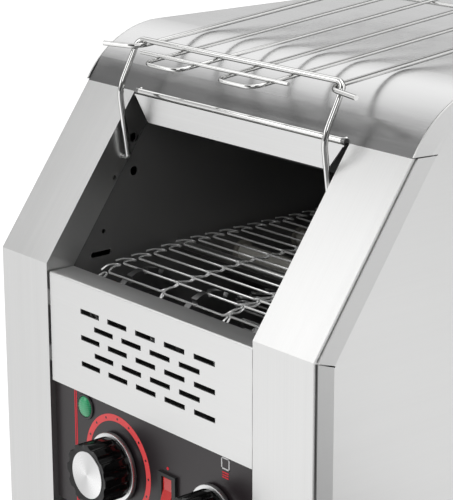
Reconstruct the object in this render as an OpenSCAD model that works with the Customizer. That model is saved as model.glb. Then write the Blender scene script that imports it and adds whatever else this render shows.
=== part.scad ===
// Countertop conveyor toaster: stainless shell, wire belt, feed rack, drive, heaters and controls.
// X runs across the machine, Y from the front to the rear, Z up from the surface it stands on.

/* [Shell] */
// Width between the outer folds of the two front frames
frame_w = 288; // [280:1:310]
// Depth from the front frames to the rear panel
body_d = 368; // [362:1:380]
// Height of the top cover above the surface
body_h = 387; // [384:1:396]
// Height of the fold where the front frames start to lean back
fold_h = 256; // [254:1:258]
// Depth that the leaning part of the front frames covers
slope_run = 69.4; // [66:0.2:72]
// Height that the leaning part of the front frames covers
slope_rise = 97.7; // [96:0.1:98.5]
// Radius of the top cover's front bend
cover_r = 66.9; // [60:0.1:70]
// Radius of the top cover's rear bend
rear_r = 14; // [8:1:18]
// Thickness of the shell's sheet metal
sheet = 1; // [0.8:0.1:1.2]
// Width of each front frame's face
face_w = 48; // [46:0.5:50]
// Depth of the front frames' inner return flanges
return_w = 19.4; // [18:0.2:20]
// Depth of the front frames' outer return flanges
outer_return_w = 12; // [8:1:16]
// How far the side covers stand outside the front frames
cover_proud = 3; // [2.6:0.1:4]
// Width of the side covers' slanted margins
margin_w = 10; // [8:0.5:12]
// Gap between a side cover's edge and the front frame's face
margin_gap = 2.2; // [1.8:0.1:2.6]
// Slits where the side covers' margins change direction
margin_slit = 0.8; // [0.4:0.1:1.2]
// Height of the feet
foot_h = 20; // [16:1:24]
// Diameter of the feet at the surface
foot_d = 30; // [24:1:36]
// Distance from the shell's sides to the feet's centres
foot_inset = 34; // [28:1:44]

/* [Toasting chamber] */
// Height of the plate under the top cover's front edge
header_h = 16; // [12:1:20]
// How far the header plate's ends are cut back at the bottom
header_cut = 13; // [8:1:16]
// Thickness of the chamber's side walls
wall_t = 1.2; // [1:0.1:1.6]
// Height of the upper heaters above the belt
heater_gap = 56; // [50:1:58]
// Diameter of the heater tubes
tube_d = 11; // [9:0.5:13]
// Depth of the first upper heater behind the front frames
heater_front = 168; // [160:1:176]
// Distance between neighbouring heater tubes
heater_pitch = 52; // [46:1:58]

/* [Belt] */
// Height of the belt's upper run
belt_h = 254; // [253:0.5:255]
// Height of the belt where it goes over the front sprockets
belt_front_h = 250; // [249:0.5:251]
// Distance from the front frames to the front shaft
front_shaft_y = 49; // [48:0.5:52]
// Distance from the front frames to the rear shaft
rear_shaft_y = 296; // [290:1:300]
// Distance between neighbouring belt wires on the sprockets
belt_pitch = 12; // [11.6:0.1:12.4]
// Diameter of the belt's wire
belt_wire = 2.2; // [1.8:0.1:2.6]
// Width of the belt
belt_w = 178; // [170:1:180]
// Distance of the belt's joints from its middle
belt_joint_x = 30; // [26:1:34]
// Width of the belt's joints
belt_joint_w = 5; // [4:0.5:8]
// Number of teeth on the belt sprockets
belt_teeth = 12; // [12:4:12]
// Distance of the outer belt sprockets from the middle
sprocket_x = 62; // [54:1:70]
// Thickness of the belt sprockets
sprocket_t = 5; // [4:0.5:7]
// Diameter of the belt shafts
shaft_d = 10; // [9:0.5:12]
// Distance from the front frames to the rod that carries the belt
rod_y = 104; // [100:1:110]
// Diameter of the rod that carries the belt
rod_d = 6; // [5:0.5:8]

/* [Drive] */
// Number of teeth on the belt shaft's chain wheel
wheel_teeth = 24; // [24:4:28]
// Number of teeth on the motor's chain wheel
pinion_teeth = 12; // [12:4:12]
// Pitch of the drive chain
chain_pitch = 8; // [7.8:0.1:8.2]
// Diameter of the chain's rollers
chain_roller = 5; // [4.6:0.1:5.2]
// Distance from the belt shaft down to the motor's shaft
motor_drop = 88; // [84:1:94]
// Distance that the motor's shaft sits forward of the belt shaft
motor_ahead = 60; // [52:1:66]
// Diameter of the gear motor
motor_d = 60; // [54:1:62]
// Thickness of the gear motor
motor_t = 28; // [24:1:30]
// Diameter of the motor's shaft
motor_shaft_d = 8; // [7:0.5:9]

/* [Front] */
// Height of the vent plate
vent_h = 70; // [66:1:72]
// Gap between the vent plate and the frames at each side
vent_gap = 1.5; // [1:0.1:2]
// Width of one vent slot
slot_w = 18.6; // [16:0.2:20]
// Height of one vent slot
slot_h = 3.2; // [2.6:0.1:3.6]
// Distance between vent slots in a row
slot_pitch_x = 26.9; // [25:0.1:28]
// Distance between rows of vent slots
slot_pitch_z = 8.3; // [7.6:0.1:9]
// Height of the control panel
panel_h = 79; // [76:1:80]
// How far the control panel sits behind the front frames
panel_back = 4; // [3.6:0.1:4.4]
// Height of the controls' centre line
control_h = 142; // [140:0.5:144]
// Height of the pilot lamp's centre
lamp_h = 171; // [170:0.5:171.5]
// Distance of the pilot lamp from the middle
lamp_x = 64; // [60:0.5:68]
// Diameter of the pilot lamp's lens
lamp_d = 13; // [11:0.5:14]
// Distance of the speed knob from the middle
speed_x = 33.5; // [32:0.5:35]
// Distance of the rocker switch from the middle
rocker_x = 17; // [15:0.5:18]
// Distance of the heat selector knob from the middle
mode_x = 60; // [57:0.5:63]
// Outer diameter of the speed knob's skirt
speed_skirt_d = 43; // [40:0.5:44]
// Outer diameter of the heat selector's skirt
mode_skirt_d = 37; // [34:0.5:39]
// Distance from the control panel to the knobs' faces
knob_l = 26; // [22:1:30]
// Flutes round a knob
flutes = 12; // [8:4:16]
// Diameter of the knobs' spindles
spindle_d = 6; // [5:0.5:7]
// Width of the rocker switch's bezel
rocker_w = 16; // [14:0.5:17]
// Height of the rocker switch's bezel
rocker_h = 22; // [20:0.5:24]
// Angle that the rocker leans to each side
rocker_lean = 9; // [6:0.5:12]

/* [Toast path] */
// Height of the outlet at the front
outlet_h = 54; // [48:1:56]
// Height of the toast slide's front end above the surface
slide_front_h = 47; // [46:0.5:48]
// Height of the toast slide's rear end above the surface
slide_rear_h = 150; // [140:1:156]
// Radius of the bend at the toast slide's rear
slide_r = 40; // [34:1:46]
// How far the toast tray stands out from the front frames
tray_out = 50; // [40:1:60]
// Height of the toast tray's lip
tray_lip = 16; // [12:1:20]
// Height of the crumb tray's walls
crumb_h = 9; // [7:0.5:10]

/* [Feed rack] */
// Diameter of the rack's bail
bail_d = 3.6; // [3:0.1:4]
// Diameter of the rack's wires
rack_d = 2.4; // [2:0.1:3]
// Depth of the rack's pivot behind the front frames
pivot_y = 60.4; // [59:0.2:62]
// Height of the rack's pivot above the fold
pivot_up = 57.8; // [56:0.2:59]
// Running clearance round the rack's pivot pins
pivot_clear = 0.08; // [0.05:0.01:0.1]
// Distance of the bail's legs from the middle
leg_x = 91.5; // [90:0.5:92]
// How far the bail's knees stand in front of its pivot
knee_ahead = 6; // [4:0.5:8]
// Height of the bail's knees above its pivot
knee_up = 44; // [40:1:48]
// Depth of the bail's cross bar behind its pivot
bar_back = 9.4; // [8:0.2:11]
// Tilt of the rack on the cover
rack_tilt = 5.5; // [4.5:0.1:6]
// Length of the rack behind the bail's cross bar
rack_l = 186; // [150:1:200]
// Distance from the middle to the inner wires
wire_x1 = 17; // [14:0.5:20]
// Distance from the middle to the next wires
wire_x2 = 49; // [44:0.5:54]
// Distance from the middle to the rack's side wires
wire_x3 = 85; // [80:0.5:86]
// How far the rack's loops reach in front of the cross bar
loop_l = 30; // [26:1:34]
// Distance from the middle to the ends of the rack's ears
ear_x = 112; // [106:1:116]

/* [Rear] */
// Diameter of the cooling fan's opening
fan_d = 76; // [70:1:78]
// Thickness of the cooling fan
fan_t = 25; // [20:1:28]
// Height of the cooling fan's centre
fan_h = 70; // [68:1:74]
// Number of blades on the cooling fan
blades = 7; // [5:1:9]
// Diameter of the cord gland's hole
gland_d = 16; // [14:0.5:18]

/* [Hidden] */
$fn = 48;
steel = "gainsboro";
dark_steel = "dimgray";
black = [0.08, 0.08, 0.09];

// Clearances: faces that move past each other, round running fits, and loose holes
slip = 0.3;
run_fit = 0.06;
loose = 0.4;

// Shell
half = frame_w / 2;
open_x = half - face_w;
cover_x = half + cover_proud;
cover_in_x = cover_x - sheet;
margin_in = cover_proud - sheet - slip;
floor_z = foot_h + sheet;
lean = atan(slope_run / slope_rise);
slope_top = fold_h + slope_rise;
cover_lip = 1.6;
lip_top = slope_top + cover_lip;
arc_z = body_h - cover_r;
arc_y = slope_run + sqrt(cover_r ^ 2 - (lip_top - arc_z) ^ 2);
hem_d = 3.6;
hem_gap = 2.5;
hem_z = slope_top + 0.7;
rear_in = body_d - sheet;
wall_in_x = open_x + sheet;
wall_out_x = wall_in_x + wall_t;
wall_inset = 5;
pivot_z = fold_h + pivot_up;

// Front: heights count down from the fold
vent_top = fold_h - 4.9;
vent_bottom = vent_top - vent_h;
vent_face = 1;
vent_flange = 18;
panel_t = 1.5;
panel_in = panel_back + panel_t;
panel_top = vent_bottom;
panel_bottom = panel_top - panel_h;
rail_top = panel_bottom - outlet_h - 6;
rail_h = 8;

// Belt: the wires run over a front sprocket, a rod and a rear sprocket
wire_r = belt_wire / 2;
belt_r = belt_pitch / 2 / sin(180 / belt_teeth);
front_shaft_z = belt_front_h - belt_r;
rear_shaft_z = belt_h - belt_r;
rod_path_r = rod_d / 2 + wire_r + slip;
rod_z = belt_h - rod_path_r;
belt_pulleys = [
  [front_shaft_y, front_shaft_z, belt_r],
  [rod_y, rod_z, rod_path_r],
  [rear_shaft_y, rear_shaft_z, belt_r]
];
belt_rows = round(path_length(belt_pulleys) / (2 * PI * belt_r / belt_teeth));
belt_step = path_length(belt_pulleys) / belt_rows;
belt_start = pulley_middle(belt_pulleys, 2);
belt_edge = belt_w / 2;

// Drive: a chain runs over the wheel on the belt's rear shaft and the motor's pinion
wheel_r = chain_pitch / 2 / sin(180 / wheel_teeth);
pinion_r = chain_pitch / 2 / sin(180 / pinion_teeth);
motor_y = rear_shaft_y - motor_ahead;
motor_z = rear_shaft_z - motor_drop;
chain_pulleys = [[motor_y, motor_z, pinion_r], [rear_shaft_y, rear_shaft_z, wheel_r]];
chain_links = round(path_length(chain_pulleys) / chain_pitch);
chain_step = path_length(chain_pulleys) / chain_links;
chain_start = pulley_middle(chain_pulleys, 0);
chain_x = wall_out_x + motor_t + 7;
wheel_t = 2.6;
chain_seat_r = chain_roller / 2 + 0.9;
tooth_tip = 1.2;

// Heaters
tube_r = tube_d / 2;
upper_tube_z = belt_h + heater_gap;
lower_tube_z = (belt_h + belt_h - 2 * belt_r) / 2 + 3;
upper_tubes = [for (i = [0 : 2]) [heater_front + i * heater_pitch, upper_tube_z]];
lower_tubes = [for (i = [0 : 1]) [heater_front + (i - 0.2) * heater_pitch, lower_tube_z]];
all_tubes = concat(upper_tubes, lower_tubes);
holder_r = tube_r + 2.5;
tube_l = wall_out_x + 12;
hood_reach = 34;
hood_up = 22;
hood_h = 20;
hood_slant = 14;
dish_reach = 26;
dish_drop = 5;
dish_h = 8;

// Toast path
slide_front_y = return_w + 1;
slide_back_y = body_d - 14;
slide_y = slide_back_y - slide_r;
slide_z = slide_rear_h + slide_r;
slide_reach = sqrt((slide_y - slide_front_y) ^ 2 + (slide_z - slide_front_h) ^ 2);
slide_angle = atan((slide_z - slide_front_h) / (slide_y - slide_front_y)) - asin(slide_r / slide_reach);
slide_top = slide_z + 110;
tray_half = open_x - 3;
tray_floor = rail_top + slip;
tray_rear = slide_front_y - 2;

// Controls
vent_rows = 5;
slot_drop = 21;
panel_lap = 5;
knob_back = panel_back - 2.7;
knob_face = panel_back - knob_l;
knob_in = 2.3;
skirt_t = 1.5;
cap_in = 4.3;
cap_seat = 1;
spindle_tip = knob_face + 8;
control_bush_d = 9;
nut_t = 1.8;
nut_room = 8.5;
speed_body_w = 34;
speed_body_l = 22;
mode_body_w = 28;
mode_body_l = 28;
lamp_body_d = 12;
lamp_rim = 2.2;
dome_r = lamp_d ^ 2 / 24 + 1.5;
rocker_y = panel_back + 2;
rocker_r = rocker_h / 2 - 2.4;
rocker_front = 3;
rocker_half_w = rocker_w / 2 - 3.7;
rocker_pin_d = 2;
switch_half_w = rocker_w / 2 - 1.5;
switch_half_h = rocker_h / 2 - 1.1;

// Crumb tray
crumb_l = 326;
crumb_pull = 9;

// Rack
bail_r = bail_d / 2;
rack_r = rack_d / 2;
rest_gap = 0.5;
crest_z = body_h + rack_r + rest_gap;
crest_y = arc_y - cover_r * sin(rack_tilt);
bar_y = pivot_y + bar_back;
plane_z = crest_z - (crest_y - bar_y) * tan(rack_tilt);
bar_z = plane_z + rack_r + bail_r;
corner_r = 9;
cross_half = 65.7;
fan_shaft_d = 4;

// Small parts
bend_r = 1.2;
bush_d = 16;
bush_out = 4;
hub_t = 12;
stud_d = 6;
chain_plate = 6.4;
plate_t = 0.8;
base_flange = 8;
// Holes in the chamber's sides: depth behind the frame's face, height above the fold, diameter
side_holes = [[15.9, 68.6, 6], [29, 46.9, 6], [16.7, 45.4, 3], [29.2, 12.1, 3]];
wall_slot_y = 36;
wall_slot_z = fold_h - 2;
wall_slot_h = 3.6;
wall_slot_l = 12;

// Rear
fan_half = fan_d / 2 + 2;
fan_front = rear_in - fan_t;
fan_hub_r = 15;
guard_pitch = 8;
gland_x = -122;
gland_z = foot_h + 75;
gland_out = 12;
screw_d = 4;
screw_head = 7;
rear_screw_in = 16;
rear_screw_low = 40;
rear_screw_mid = 160;
rear_screw_drop = 30;
rear_screw_floor_x = 70;
// Places of the screws in the rear panel: across, up
rear_screws = [
  for (s = [-1, 1], z = [foot_h + rear_screw_low, foot_h + rear_screw_mid, slope_top - rear_screw_drop])
    [s * (half - rear_screw_in), z],
  for (s = [-1, 1]) [s * rear_screw_floor_x, foot_h + base_flange / 2]
];
fan_screws = [for (x = [-1, 1], z = [-1, 1]) [x * (fan_half - 4), fan_h + z * (fan_half - 4)]];

// The whole machine is centred over its origin, front lip to cord gland
front_reach = -tray_out;
middle_y = (front_reach + body_d + gland_out) / 2;

// --- Paths round pulleys, clockwise with Y to the right; a pulley is [y, z, radius] ---
function next(p, i) = p[(i + 1) % len(p)];
function span(p, i) = [next(p, i).x - p[i].x, next(p, i).y - p[i].y];
function side_angle(p, i) =
  atan2(span(p, i).y, span(p, i).x) + 90 - asin((p[i].z - next(p, i).z) / norm(span(p, i)));
function line_length(p, i) = sqrt(norm(span(p, i)) ^ 2 - (p[i].z - next(p, i).z) ^ 2);
function turn(p, i) = (side_angle(p, i) - side_angle(p, (i + 1) % len(p)) + 720) % 360;
function arc_length(p, i) = next(p, i).z * turn(p, i) * PI / 180;
function path_length(p, i = 0) =
  i == len(p) ? 0 : line_length(p, i) + arc_length(p, i) + path_length(p, i + 1);
// Length along the path to the middle of the arc that ends straight line i
function pulley_middle(p, i, k = 0) =
  k == i ? line_length(p, k) + arc_length(p, k) / 2
         : line_length(p, k) + arc_length(p, k) + pulley_middle(p, i, k + 1);
// Point on the path and the angle of its outward side, at length s from pulley i
function path_at(p, s, i = 0) =
  s < line_length(p, i)
    ? let (a = side_angle(p, i))
      [p[i].x + p[i].z * cos(a) + s * sin(a), p[i].y + p[i].z * sin(a) - s * cos(a), a]
    : s < line_length(p, i) + arc_length(p, i)
      ? let (a = side_angle(p, i) - (s - line_length(p, i)) / next(p, i).z * 180 / PI)
        [next(p, i).x + next(p, i).z * cos(a), next(p, i).y + next(p, i).z * sin(a), a]
      : path_at(p, s - line_length(p, i) - arc_length(p, i), (i + 1) % len(p));
function row_at(p, start, step, k) = path_at(p, (start + k * step) % path_length(p));
// Angle of the row nearest to the middle of the arc that ends straight line i
function row_angle(p, start, step, i) =
  row_at(p, start, step, round((pulley_middle(p, i) - start) / step)).z;

// --- Building blocks ---
// A flat shape drawn in Y and Z, from one X to another
module across(x0, x1) {
  translate([x0, 0, 0]) rotate([90, 0, 90]) linear_extrude(x1 - x0) children();
}

module block(a, b) {
  translate(a) cube(b - a);
}

module bar_x(x0, x1, y, z, d) {
  translate([x0, y, z]) rotate([0, 90, 0]) cylinder(h = x1 - x0, d = d);
}

module bar_y(y0, y1, x, z, d) {
  translate([x, y0, z]) rotate([-90, 0, 0]) cylinder(h = y1 - y0, d = d);
}

// A straight wire between two points
module wire(a, b, d) {
  v = b - a;
  translate(a)
    rotate([0, acos(v.z / norm(v)), atan2(v.y, v.x)])
      cylinder(h = norm(v), d = d, $fn = 16);
}

function unit(v) = v / norm(v);

// A path with each inner corner replaced by a curve that starts up to r away from it
function softened(p, r, n = 4) = [
  p[0],
  for (i = [1 : len(p) - 2])
    let (
      a = p[i] + unit(p[i - 1] - p[i]) * min(r, 0.48 * norm(p[i - 1] - p[i])),
      b = p[i] + unit(p[i + 1] - p[i]) * min(r, 0.48 * norm(p[i + 1] - p[i]))
    )
    for (k = [0 : n]) let (s = k / n) (1 - s) ^ 2 * a + 2 * s * (1 - s) * p[i] + s ^ 2 * b,
  p[len(p) - 1]
];

// A wire bent along a path that is never parallel to the direction up
module bent_wire(p, d, up, sides = 8) {
  n = len(p);
  rings = [
    for (i = [0 : n - 1])
      let (
        t = unit(p[min(i + 1, n - 1)] - p[max(i - 1, 0)]),
        side = unit(cross(up, t)),
        top = cross(t, side)
      )
      for (k = [0 : sides - 1])
        p[i] + d / 2 * (cos(360 * k / sides) * side + sin(360 * k / sides) * top)
  ];
  walls = [
    for (i = [0 : n - 2], k = [0 : sides - 1])
      let (a = i * sides + k, b = i * sides + (k + 1) % sides) [a, a + sides, b + sides, b]
  ];
  ends = [[for (k = [0 : sides - 1]) k], [for (k = [1 : sides]) n * sides - k]];
  polyhedron(rings, concat(ends, walls));
}

module both_sides() {
  children();
  mirror([1, 0, 0]) children();
}

// --- Shell ---
// Depth of the leaning face at a height, moved inwards
function lean_y(z, inset) = (inset + (z - fold_h) * sin(lean)) / cos(lean);
function fold_z(inset) = fold_h - inset * tan(lean / 2);

// Side outline of the shell, moved inwards at the front and at the top
module skin_profile(inset, top_inset) {
  intersection() {
    polygon([
      [inset, foot_h], [inset, fold_z(inset)], [lean_y(body_h, inset), body_h], [body_d, body_h],
      [body_d, foot_h]
    ]);
    union() {
      translate([arc_y, arc_z]) circle(cover_r - top_inset, $fn = 96);
      translate([body_d - rear_r, body_h - rear_r]) circle(rear_r - min(top_inset, sheet));
      translate([0, foot_h]) square([arc_y, lip_top - top_inset - foot_h]);
      translate([arc_y, foot_h]) square([body_d - rear_r - arc_y, body_h - top_inset - foot_h]);
      translate([arc_y, foot_h])
        square([body_d - min(top_inset, sheet) - arc_y, body_h - rear_r - foot_h]);
    }
  }
}

// Keeps what lies below the mitre of the front frames' fold, or above it
module below_mitre(gap = 0) {
  across(0, cover_x + 1)
    polygon([[-1, 0], [body_d, 0], [body_d, fold_z(body_d) - gap], [-1, fold_z(-1) - gap]]);
}

module above_mitre(gap = 0) {
  across(0, cover_x + 1)
    polygon([
      [-1, fold_z(-1) + gap], [body_d, fold_z(body_d) + gap], [body_d, slope_top], [-1, slope_top]
    ]);
}

// An outline in X and Y, drawn out along the upright and along the leaning part of the front
module up_the_front(gap = 0) {
  intersection() {
    translate([0, 0, foot_h]) linear_extrude(fold_h) children();
    below_mitre(gap);
  }
  intersection() {
    translate([0, 0, fold_h]) rotate([-lean, 0, 0]) translate([0, 0, -foot_h])
      linear_extrude(slope_rise / cos(lean) + 2 * foot_h) children();
    above_mitre(gap);
  }
}

// Band that follows the front's fold: across from a to b, from depth d0 to d1, past its ends by over
module front_band(a, b, d0, d1, over = 0) {
  low = foot_h - over;
  high = slope_top + over;
  across(a, b)
    polygon([
      [d0, low], [d1, low], [d1, fold_z(d1)],
      [lean_y(high, d1), high], [lean_y(high, d0), high], [d0, fold_z(d0)]
    ]);
}

module side_holes_cut() {
  for (h = side_holes)
    bar_x(open_x - 1, wall_out_x + 1, lean_y(fold_h + h.y, h.x), fold_h + h.y, h.z);
  bar_x(open_x - 1, wall_out_x + 1, pivot_y, pivot_z, bail_d + 2 * pivot_clear);
}

module front_frame() {
  difference() {
    union() {
      difference() {
        front_band(open_x, half, 0, return_w);
        front_band(open_x + sheet, half - sheet, sheet, return_w + 1, 1);
        front_band(half - 2 * sheet, half + 1, outer_return_w, return_w + 1, 1);
      }
      block([open_x + sheet / 2, sheet / 2, foot_h], [half - sheet / 2, outer_return_w, floor_z]);
    }
    side_holes_cut();
  }
}

module side_frame_right() {
  color(steel) front_frame();
}

module side_frame_left() {
  color(steel) mirror([1, 0, 0]) front_frame();
}

// Cross-section of a side cover's slanted margin, from its free edge to a lap on the flat side
module margin_section(edge, inward) {
  flat = edge + inward * margin_w;
  lap = flat + inward;
  polygon([
    [cover_x - margin_in, edge], [cover_x, flat], [cover_x, lap], [cover_in_x, lap], [cover_in_x, flat],
    [cover_in_x - margin_in, edge]
  ]);
}

module side_cover() {
  inner = margin_gap + margin_w + 0.5;
  across(cover_in_x, cover_x) {
    skin_profile(inner, margin_w + 0.5);
    intersection() {
      skin_profile(inner, 0);
      union() {
        translate([body_d - rear_r, foot_h]) square([rear_r, body_h]);
        translate([arc_y, foot_h]) square([body_d - arc_y, body_h - rear_r - foot_h]);
      }
    }
  }
  // Beside the front frame, then round the top cover's bend
  up_the_front(margin_slit / 2) margin_section(margin_gap, 1);
  intersection() {
    translate([0, arc_y, arc_z]) rotate([90, 0, 90]) rotate([0, 0, 90])
      rotate_extrude(angle = 70, $fn = 96) mirror([1, -1]) margin_section(cover_r, -1);
    across(half - 5, cover_x + 1) translate([0, slope_top + margin_slit]) square([arc_y, body_h]);
  }
  // Along the flat top
  translate([0, body_d - rear_r, 0]) rotate([90, 0, 0]) linear_extrude(body_d - rear_r - arc_y)
    margin_section(body_h, -1);
}

module side_cover_right() {
  color(steel) side_cover();
}

module side_cover_left() {
  color(steel) mirror([1, 0, 0]) side_cover();
}

module top_cover() {
  color(steel) {
    across(-half, half)
      intersection() {
        difference() {
          skin_profile(0, 0);
          skin_profile(sheet, sheet);
        }
        translate([slope_run, slope_top]) square([body_d, body_h]);
      }
    bar_x(-open_x + hem_gap, open_x - hem_gap, slope_run, hem_z, hem_d);
  }
}

// Plate under the cover's hem, hung from a flange between the frames' returns
module header_plate() {
  y = slope_run - hem_d / 2;
  top = hem_z - hem_d / 2;
  w = open_x - hem_gap;
  color(steel) {
    translate([0, y + sheet, 0]) rotate([90, 0, 0]) linear_extrude(sheet)
      polygon([[-w, top], [w, top], [w - header_cut, top - header_h], [header_cut - w, top - header_h]]);
    block([-w, y, top - sheet], [w, y + 8, top]);
    block([-open_x, y + 7, top - sheet], [open_x, y + return_w, top]);
  }
}

module foot_holes(d) {
  for (x = [-1, 1], y = [foot_inset, body_d - foot_inset])
    translate([x * (half - foot_inset), y, foot_h - 1]) cylinder(h = 20, d = d);
}

module base_plate() {
  x = cover_in_x;
  y = outer_return_w + slip;
  flange_z = foot_h + base_flange;
  color(steel)
    difference() {
      union() {
        block([-x, y, foot_h], [x, rear_in, floor_z]);
        block([-open_x, sheet, foot_h], [open_x, y, floor_z]);
        both_sides() block([x - sheet, y, foot_h], [x, rear_in, flange_z]);
        block([-x, rear_in - sheet, foot_h], [x, rear_in, flange_z]);
      }
      both_sides() block([open_x, -1, foot_h - 1], [wall_in_x + slip, return_w + slip, floor_z + 1]);
      foot_holes(stud_d + 2 * loose);
      for (x = [-60 : 24 : 60], y = [150, 190]) slot_z(x, y, 8, 24);
      for (p = rear_screws) screw_hole(p);
    }
}

// Slot with round ends through the base, length along Y
module slot_z(x, y, w, l) {
  translate([x, y, foot_h - 1]) {
    cylinder(h = sheet + 2, d = w);
    translate([0, l, 0]) cylinder(h = sheet + 2, d = w);
    translate([-w / 2, 0, 0]) cube([w, l, sheet + 2]);
  }
}

// Rings of slots that guard the cooling fan
module fan_guard() {
  translate([0, body_d + 1, fan_h]) rotate([90, 0, 0]) linear_extrude(sheet + 2)
    difference() {
      for (r = [fan_d / 2 : -guard_pitch : guard_pitch + 2])
        difference() {
          circle(r);
          circle(r - guard_pitch + 2.5);
        }
      for (a = [0, 90]) rotate(a + 45) translate([-fan_d, -1.5]) square([2 * fan_d, 3]);
    }
}

// Upright slot with round ends through the rear panel
module slot_y(x, z, w, l) {
  bar_y(rear_in - 1, body_d + 1, x, z, w);
  bar_y(rear_in - 1, body_d + 1, x, z + l, w);
  block([x - w / 2, rear_in - 1, z], [x + w / 2, body_d + 1, z + l]);
}

module rear_panel() {
  top = slope_top - slip;
  color(steel)
    difference() {
      block([-cover_in_x, rear_in, foot_h], [cover_in_x, body_d, top]);
      fan_guard();
      for (p = concat(rear_screws, fan_screws)) screw_hole(p);
      bar_y(rear_in - 1, body_d + 1, gland_x, gland_z, gland_d + 2 * loose);
      for (x = [-90 : 20 : 90], z = [top - 66, top - 32]) slot_y(x, z, 5, 20);
    }
}

module foot() {
  r = foot_d / 2;
  rotate_extrude()
    polygon([
      [0, 0], [r - 1.5, 0], [r, 1.5], [r - 1, 5], [r - 4, foot_h - 2], [r - 4, foot_h], [stud_d / 2, foot_h],
      [stud_d / 2, foot_h + 10], [0, foot_h + 10]
    ]);
  translate([0, 0, floor_z]) cylinder(h = 5, d = 2 * stud_d, $fn = 6);
}

module foot_at(side, y) {
  color(black) translate([side * (half - foot_inset), y, 0]) foot();
}

module foot_front_left() {
  foot_at(-1, foot_inset);
}

module foot_front_right() {
  foot_at(1, foot_inset);
}

module foot_rear_left() {
  foot_at(-1, body_d - foot_inset);
}

module foot_rear_right() {
  foot_at(1, body_d - foot_inset);
}

// A rear screw's hole, at a place across and up
module screw_hole(p) {
  bar_y(rear_in - 5, body_d + 1, p.x, p.y, screw_d + 2 * loose);
}

module cover_screws() {
  color("silver")
    for (p = concat(rear_screws, fan_screws)) {
      bar_y(rear_in - 4, body_d, p.x, p.y, screw_d);
      translate([p.x, body_d, p.y]) rotate([-90, 0, 0])
        cylinder(h = 2, d1 = screw_head, d2 = screw_head - 3);
    }
}

// --- Chamber ---
module inner_wall() {
  difference() {
    across(wall_in_x, wall_out_x)
      difference() {
        skin_profile(wall_inset, wall_inset);
        square([body_d, floor_z]);
        translate([rear_in - sheet - slip, 0]) square([body_d, foot_h + base_flange + slip]);
      }
    side_holes_cut();
    for (p = [belt_pulleys[0], belt_pulleys[2]])
      bar_x(wall_in_x - 1, wall_out_x + 1, p.x, p.y, bush_d + 2 * slip);
    for (t = all_tubes) bar_x(wall_in_x - 1, wall_out_x + 1, t.x, t.y, 2 * holder_r + 2 * slip);
    // Slot with round ends beside the belt's front
    for (y = [wall_slot_y, wall_slot_y + wall_slot_l])
      bar_x(wall_in_x - 1, wall_out_x + 1, y, wall_slot_z, wall_slot_h);
    block(
      [wall_in_x - 1, wall_slot_y, wall_slot_z - wall_slot_h / 2],
      [wall_out_x + 1, wall_slot_y + wall_slot_l, wall_slot_z + wall_slot_h / 2]
    );
  }
}

module inner_wall_right() {
  color(dark_steel) inner_wall();
}

module inner_wall_left() {
  color(dark_steel) mirror([1, 0, 0]) inner_wall();
}

module upper_reflector() {
  y0 = upper_tubes[0].x - hood_reach;
  y1 = upper_tubes[2].x + hood_reach;
  z = upper_tube_z + hood_up;
  low = z - hood_h;
  in = hood_slant + slip;
  color(dark_steel)
    across(-wall_in_x, wall_in_x)
      difference() {
        polygon([[y0, low], [y0 + hood_slant, z], [y1 - hood_slant, z], [y1, low]]);
        polygon([[y0 + sheet, low - 1], [y0 + in, z - sheet], [y1 - in, z - sheet], [y1 - sheet, low - 1]]);
      }
}

module lower_reflector() {
  y0 = lower_tubes[0].x - dish_reach;
  y1 = lower_tubes[1].x + dish_reach;
  z = lower_tube_z - tube_r - dish_drop;
  high = z + dish_h;
  in = dish_h + slip;
  color(dark_steel)
    across(-wall_in_x, wall_in_x)
      difference() {
        polygon([[y0, high], [y0 + dish_h, z], [y1 - dish_h, z], [y1, high]]);
        polygon([[y0 + sheet, high + 1], [y0 + in, z + sheet], [y1 - in, z + sheet], [y1 - sheet, high + 1]]);
      }
}

// Quartz tube with a ceramic cap and a terminal pin at each end
module heater_tube(t) {
  color([0.85, 0.85, 0.82]) {
    bar_x(-tube_l + 6, tube_l - 6, t.x, t.y, tube_d);
    both_sides() {
      bar_x(tube_l - 7, tube_l, t.x, t.y, tube_d + 2);
      bar_x(tube_l - 1, tube_l + 5, t.x, t.y, 3);
    }
  }
}

module upper_heater_1() {
  heater_tube(upper_tubes[0]);
}

module upper_heater_2() {
  heater_tube(upper_tubes[1]);
}

module upper_heater_3() {
  heater_tube(upper_tubes[2]);
}

module lower_heater_1() {
  heater_tube(lower_tubes[0]);
}

module lower_heater_2() {
  heater_tube(lower_tubes[1]);
}

// Ceramic bushes that carry the tubes in the chamber's walls
module heater_holders() {
  color("white")
    both_sides()
      for (t = all_tubes)
        difference() {
          union() {
            bar_x(wall_in_x - 2, wall_out_x + 2, t.x, t.y, 2 * holder_r);
            bar_x(wall_out_x, wall_out_x + 2, t.x, t.y, 2 * holder_r + 4);
          }
          bar_x(wall_in_x - 3, wall_out_x + 3, t.x, t.y, tube_d + 2 * run_fit);
        }
}

// --- Belt ---
// One crossing point of the belt: X across, on row k of the path
function belt_point(x, k) =
  let (p = row_at(belt_pulleys, belt_start, belt_step, k)) [x, p.x, p.y];

module wire_belt() {
  joint_d = 0.8 * belt_wire;
  color("silver")
    for (k = [0 : belt_rows - 1]) {
      wire(belt_point(-belt_edge, k), belt_point(belt_edge, k), belt_wire);
      for (s = [-1, 1], x = [belt_joint_x, belt_edge - belt_joint_w / 2 - 1.5]) {
        reach = belt_joint_w / 2;
        wire(belt_point(s * (x + reach), k), belt_point(s * (x - reach), k + 1), joint_d);
      }
    }
}

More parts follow.
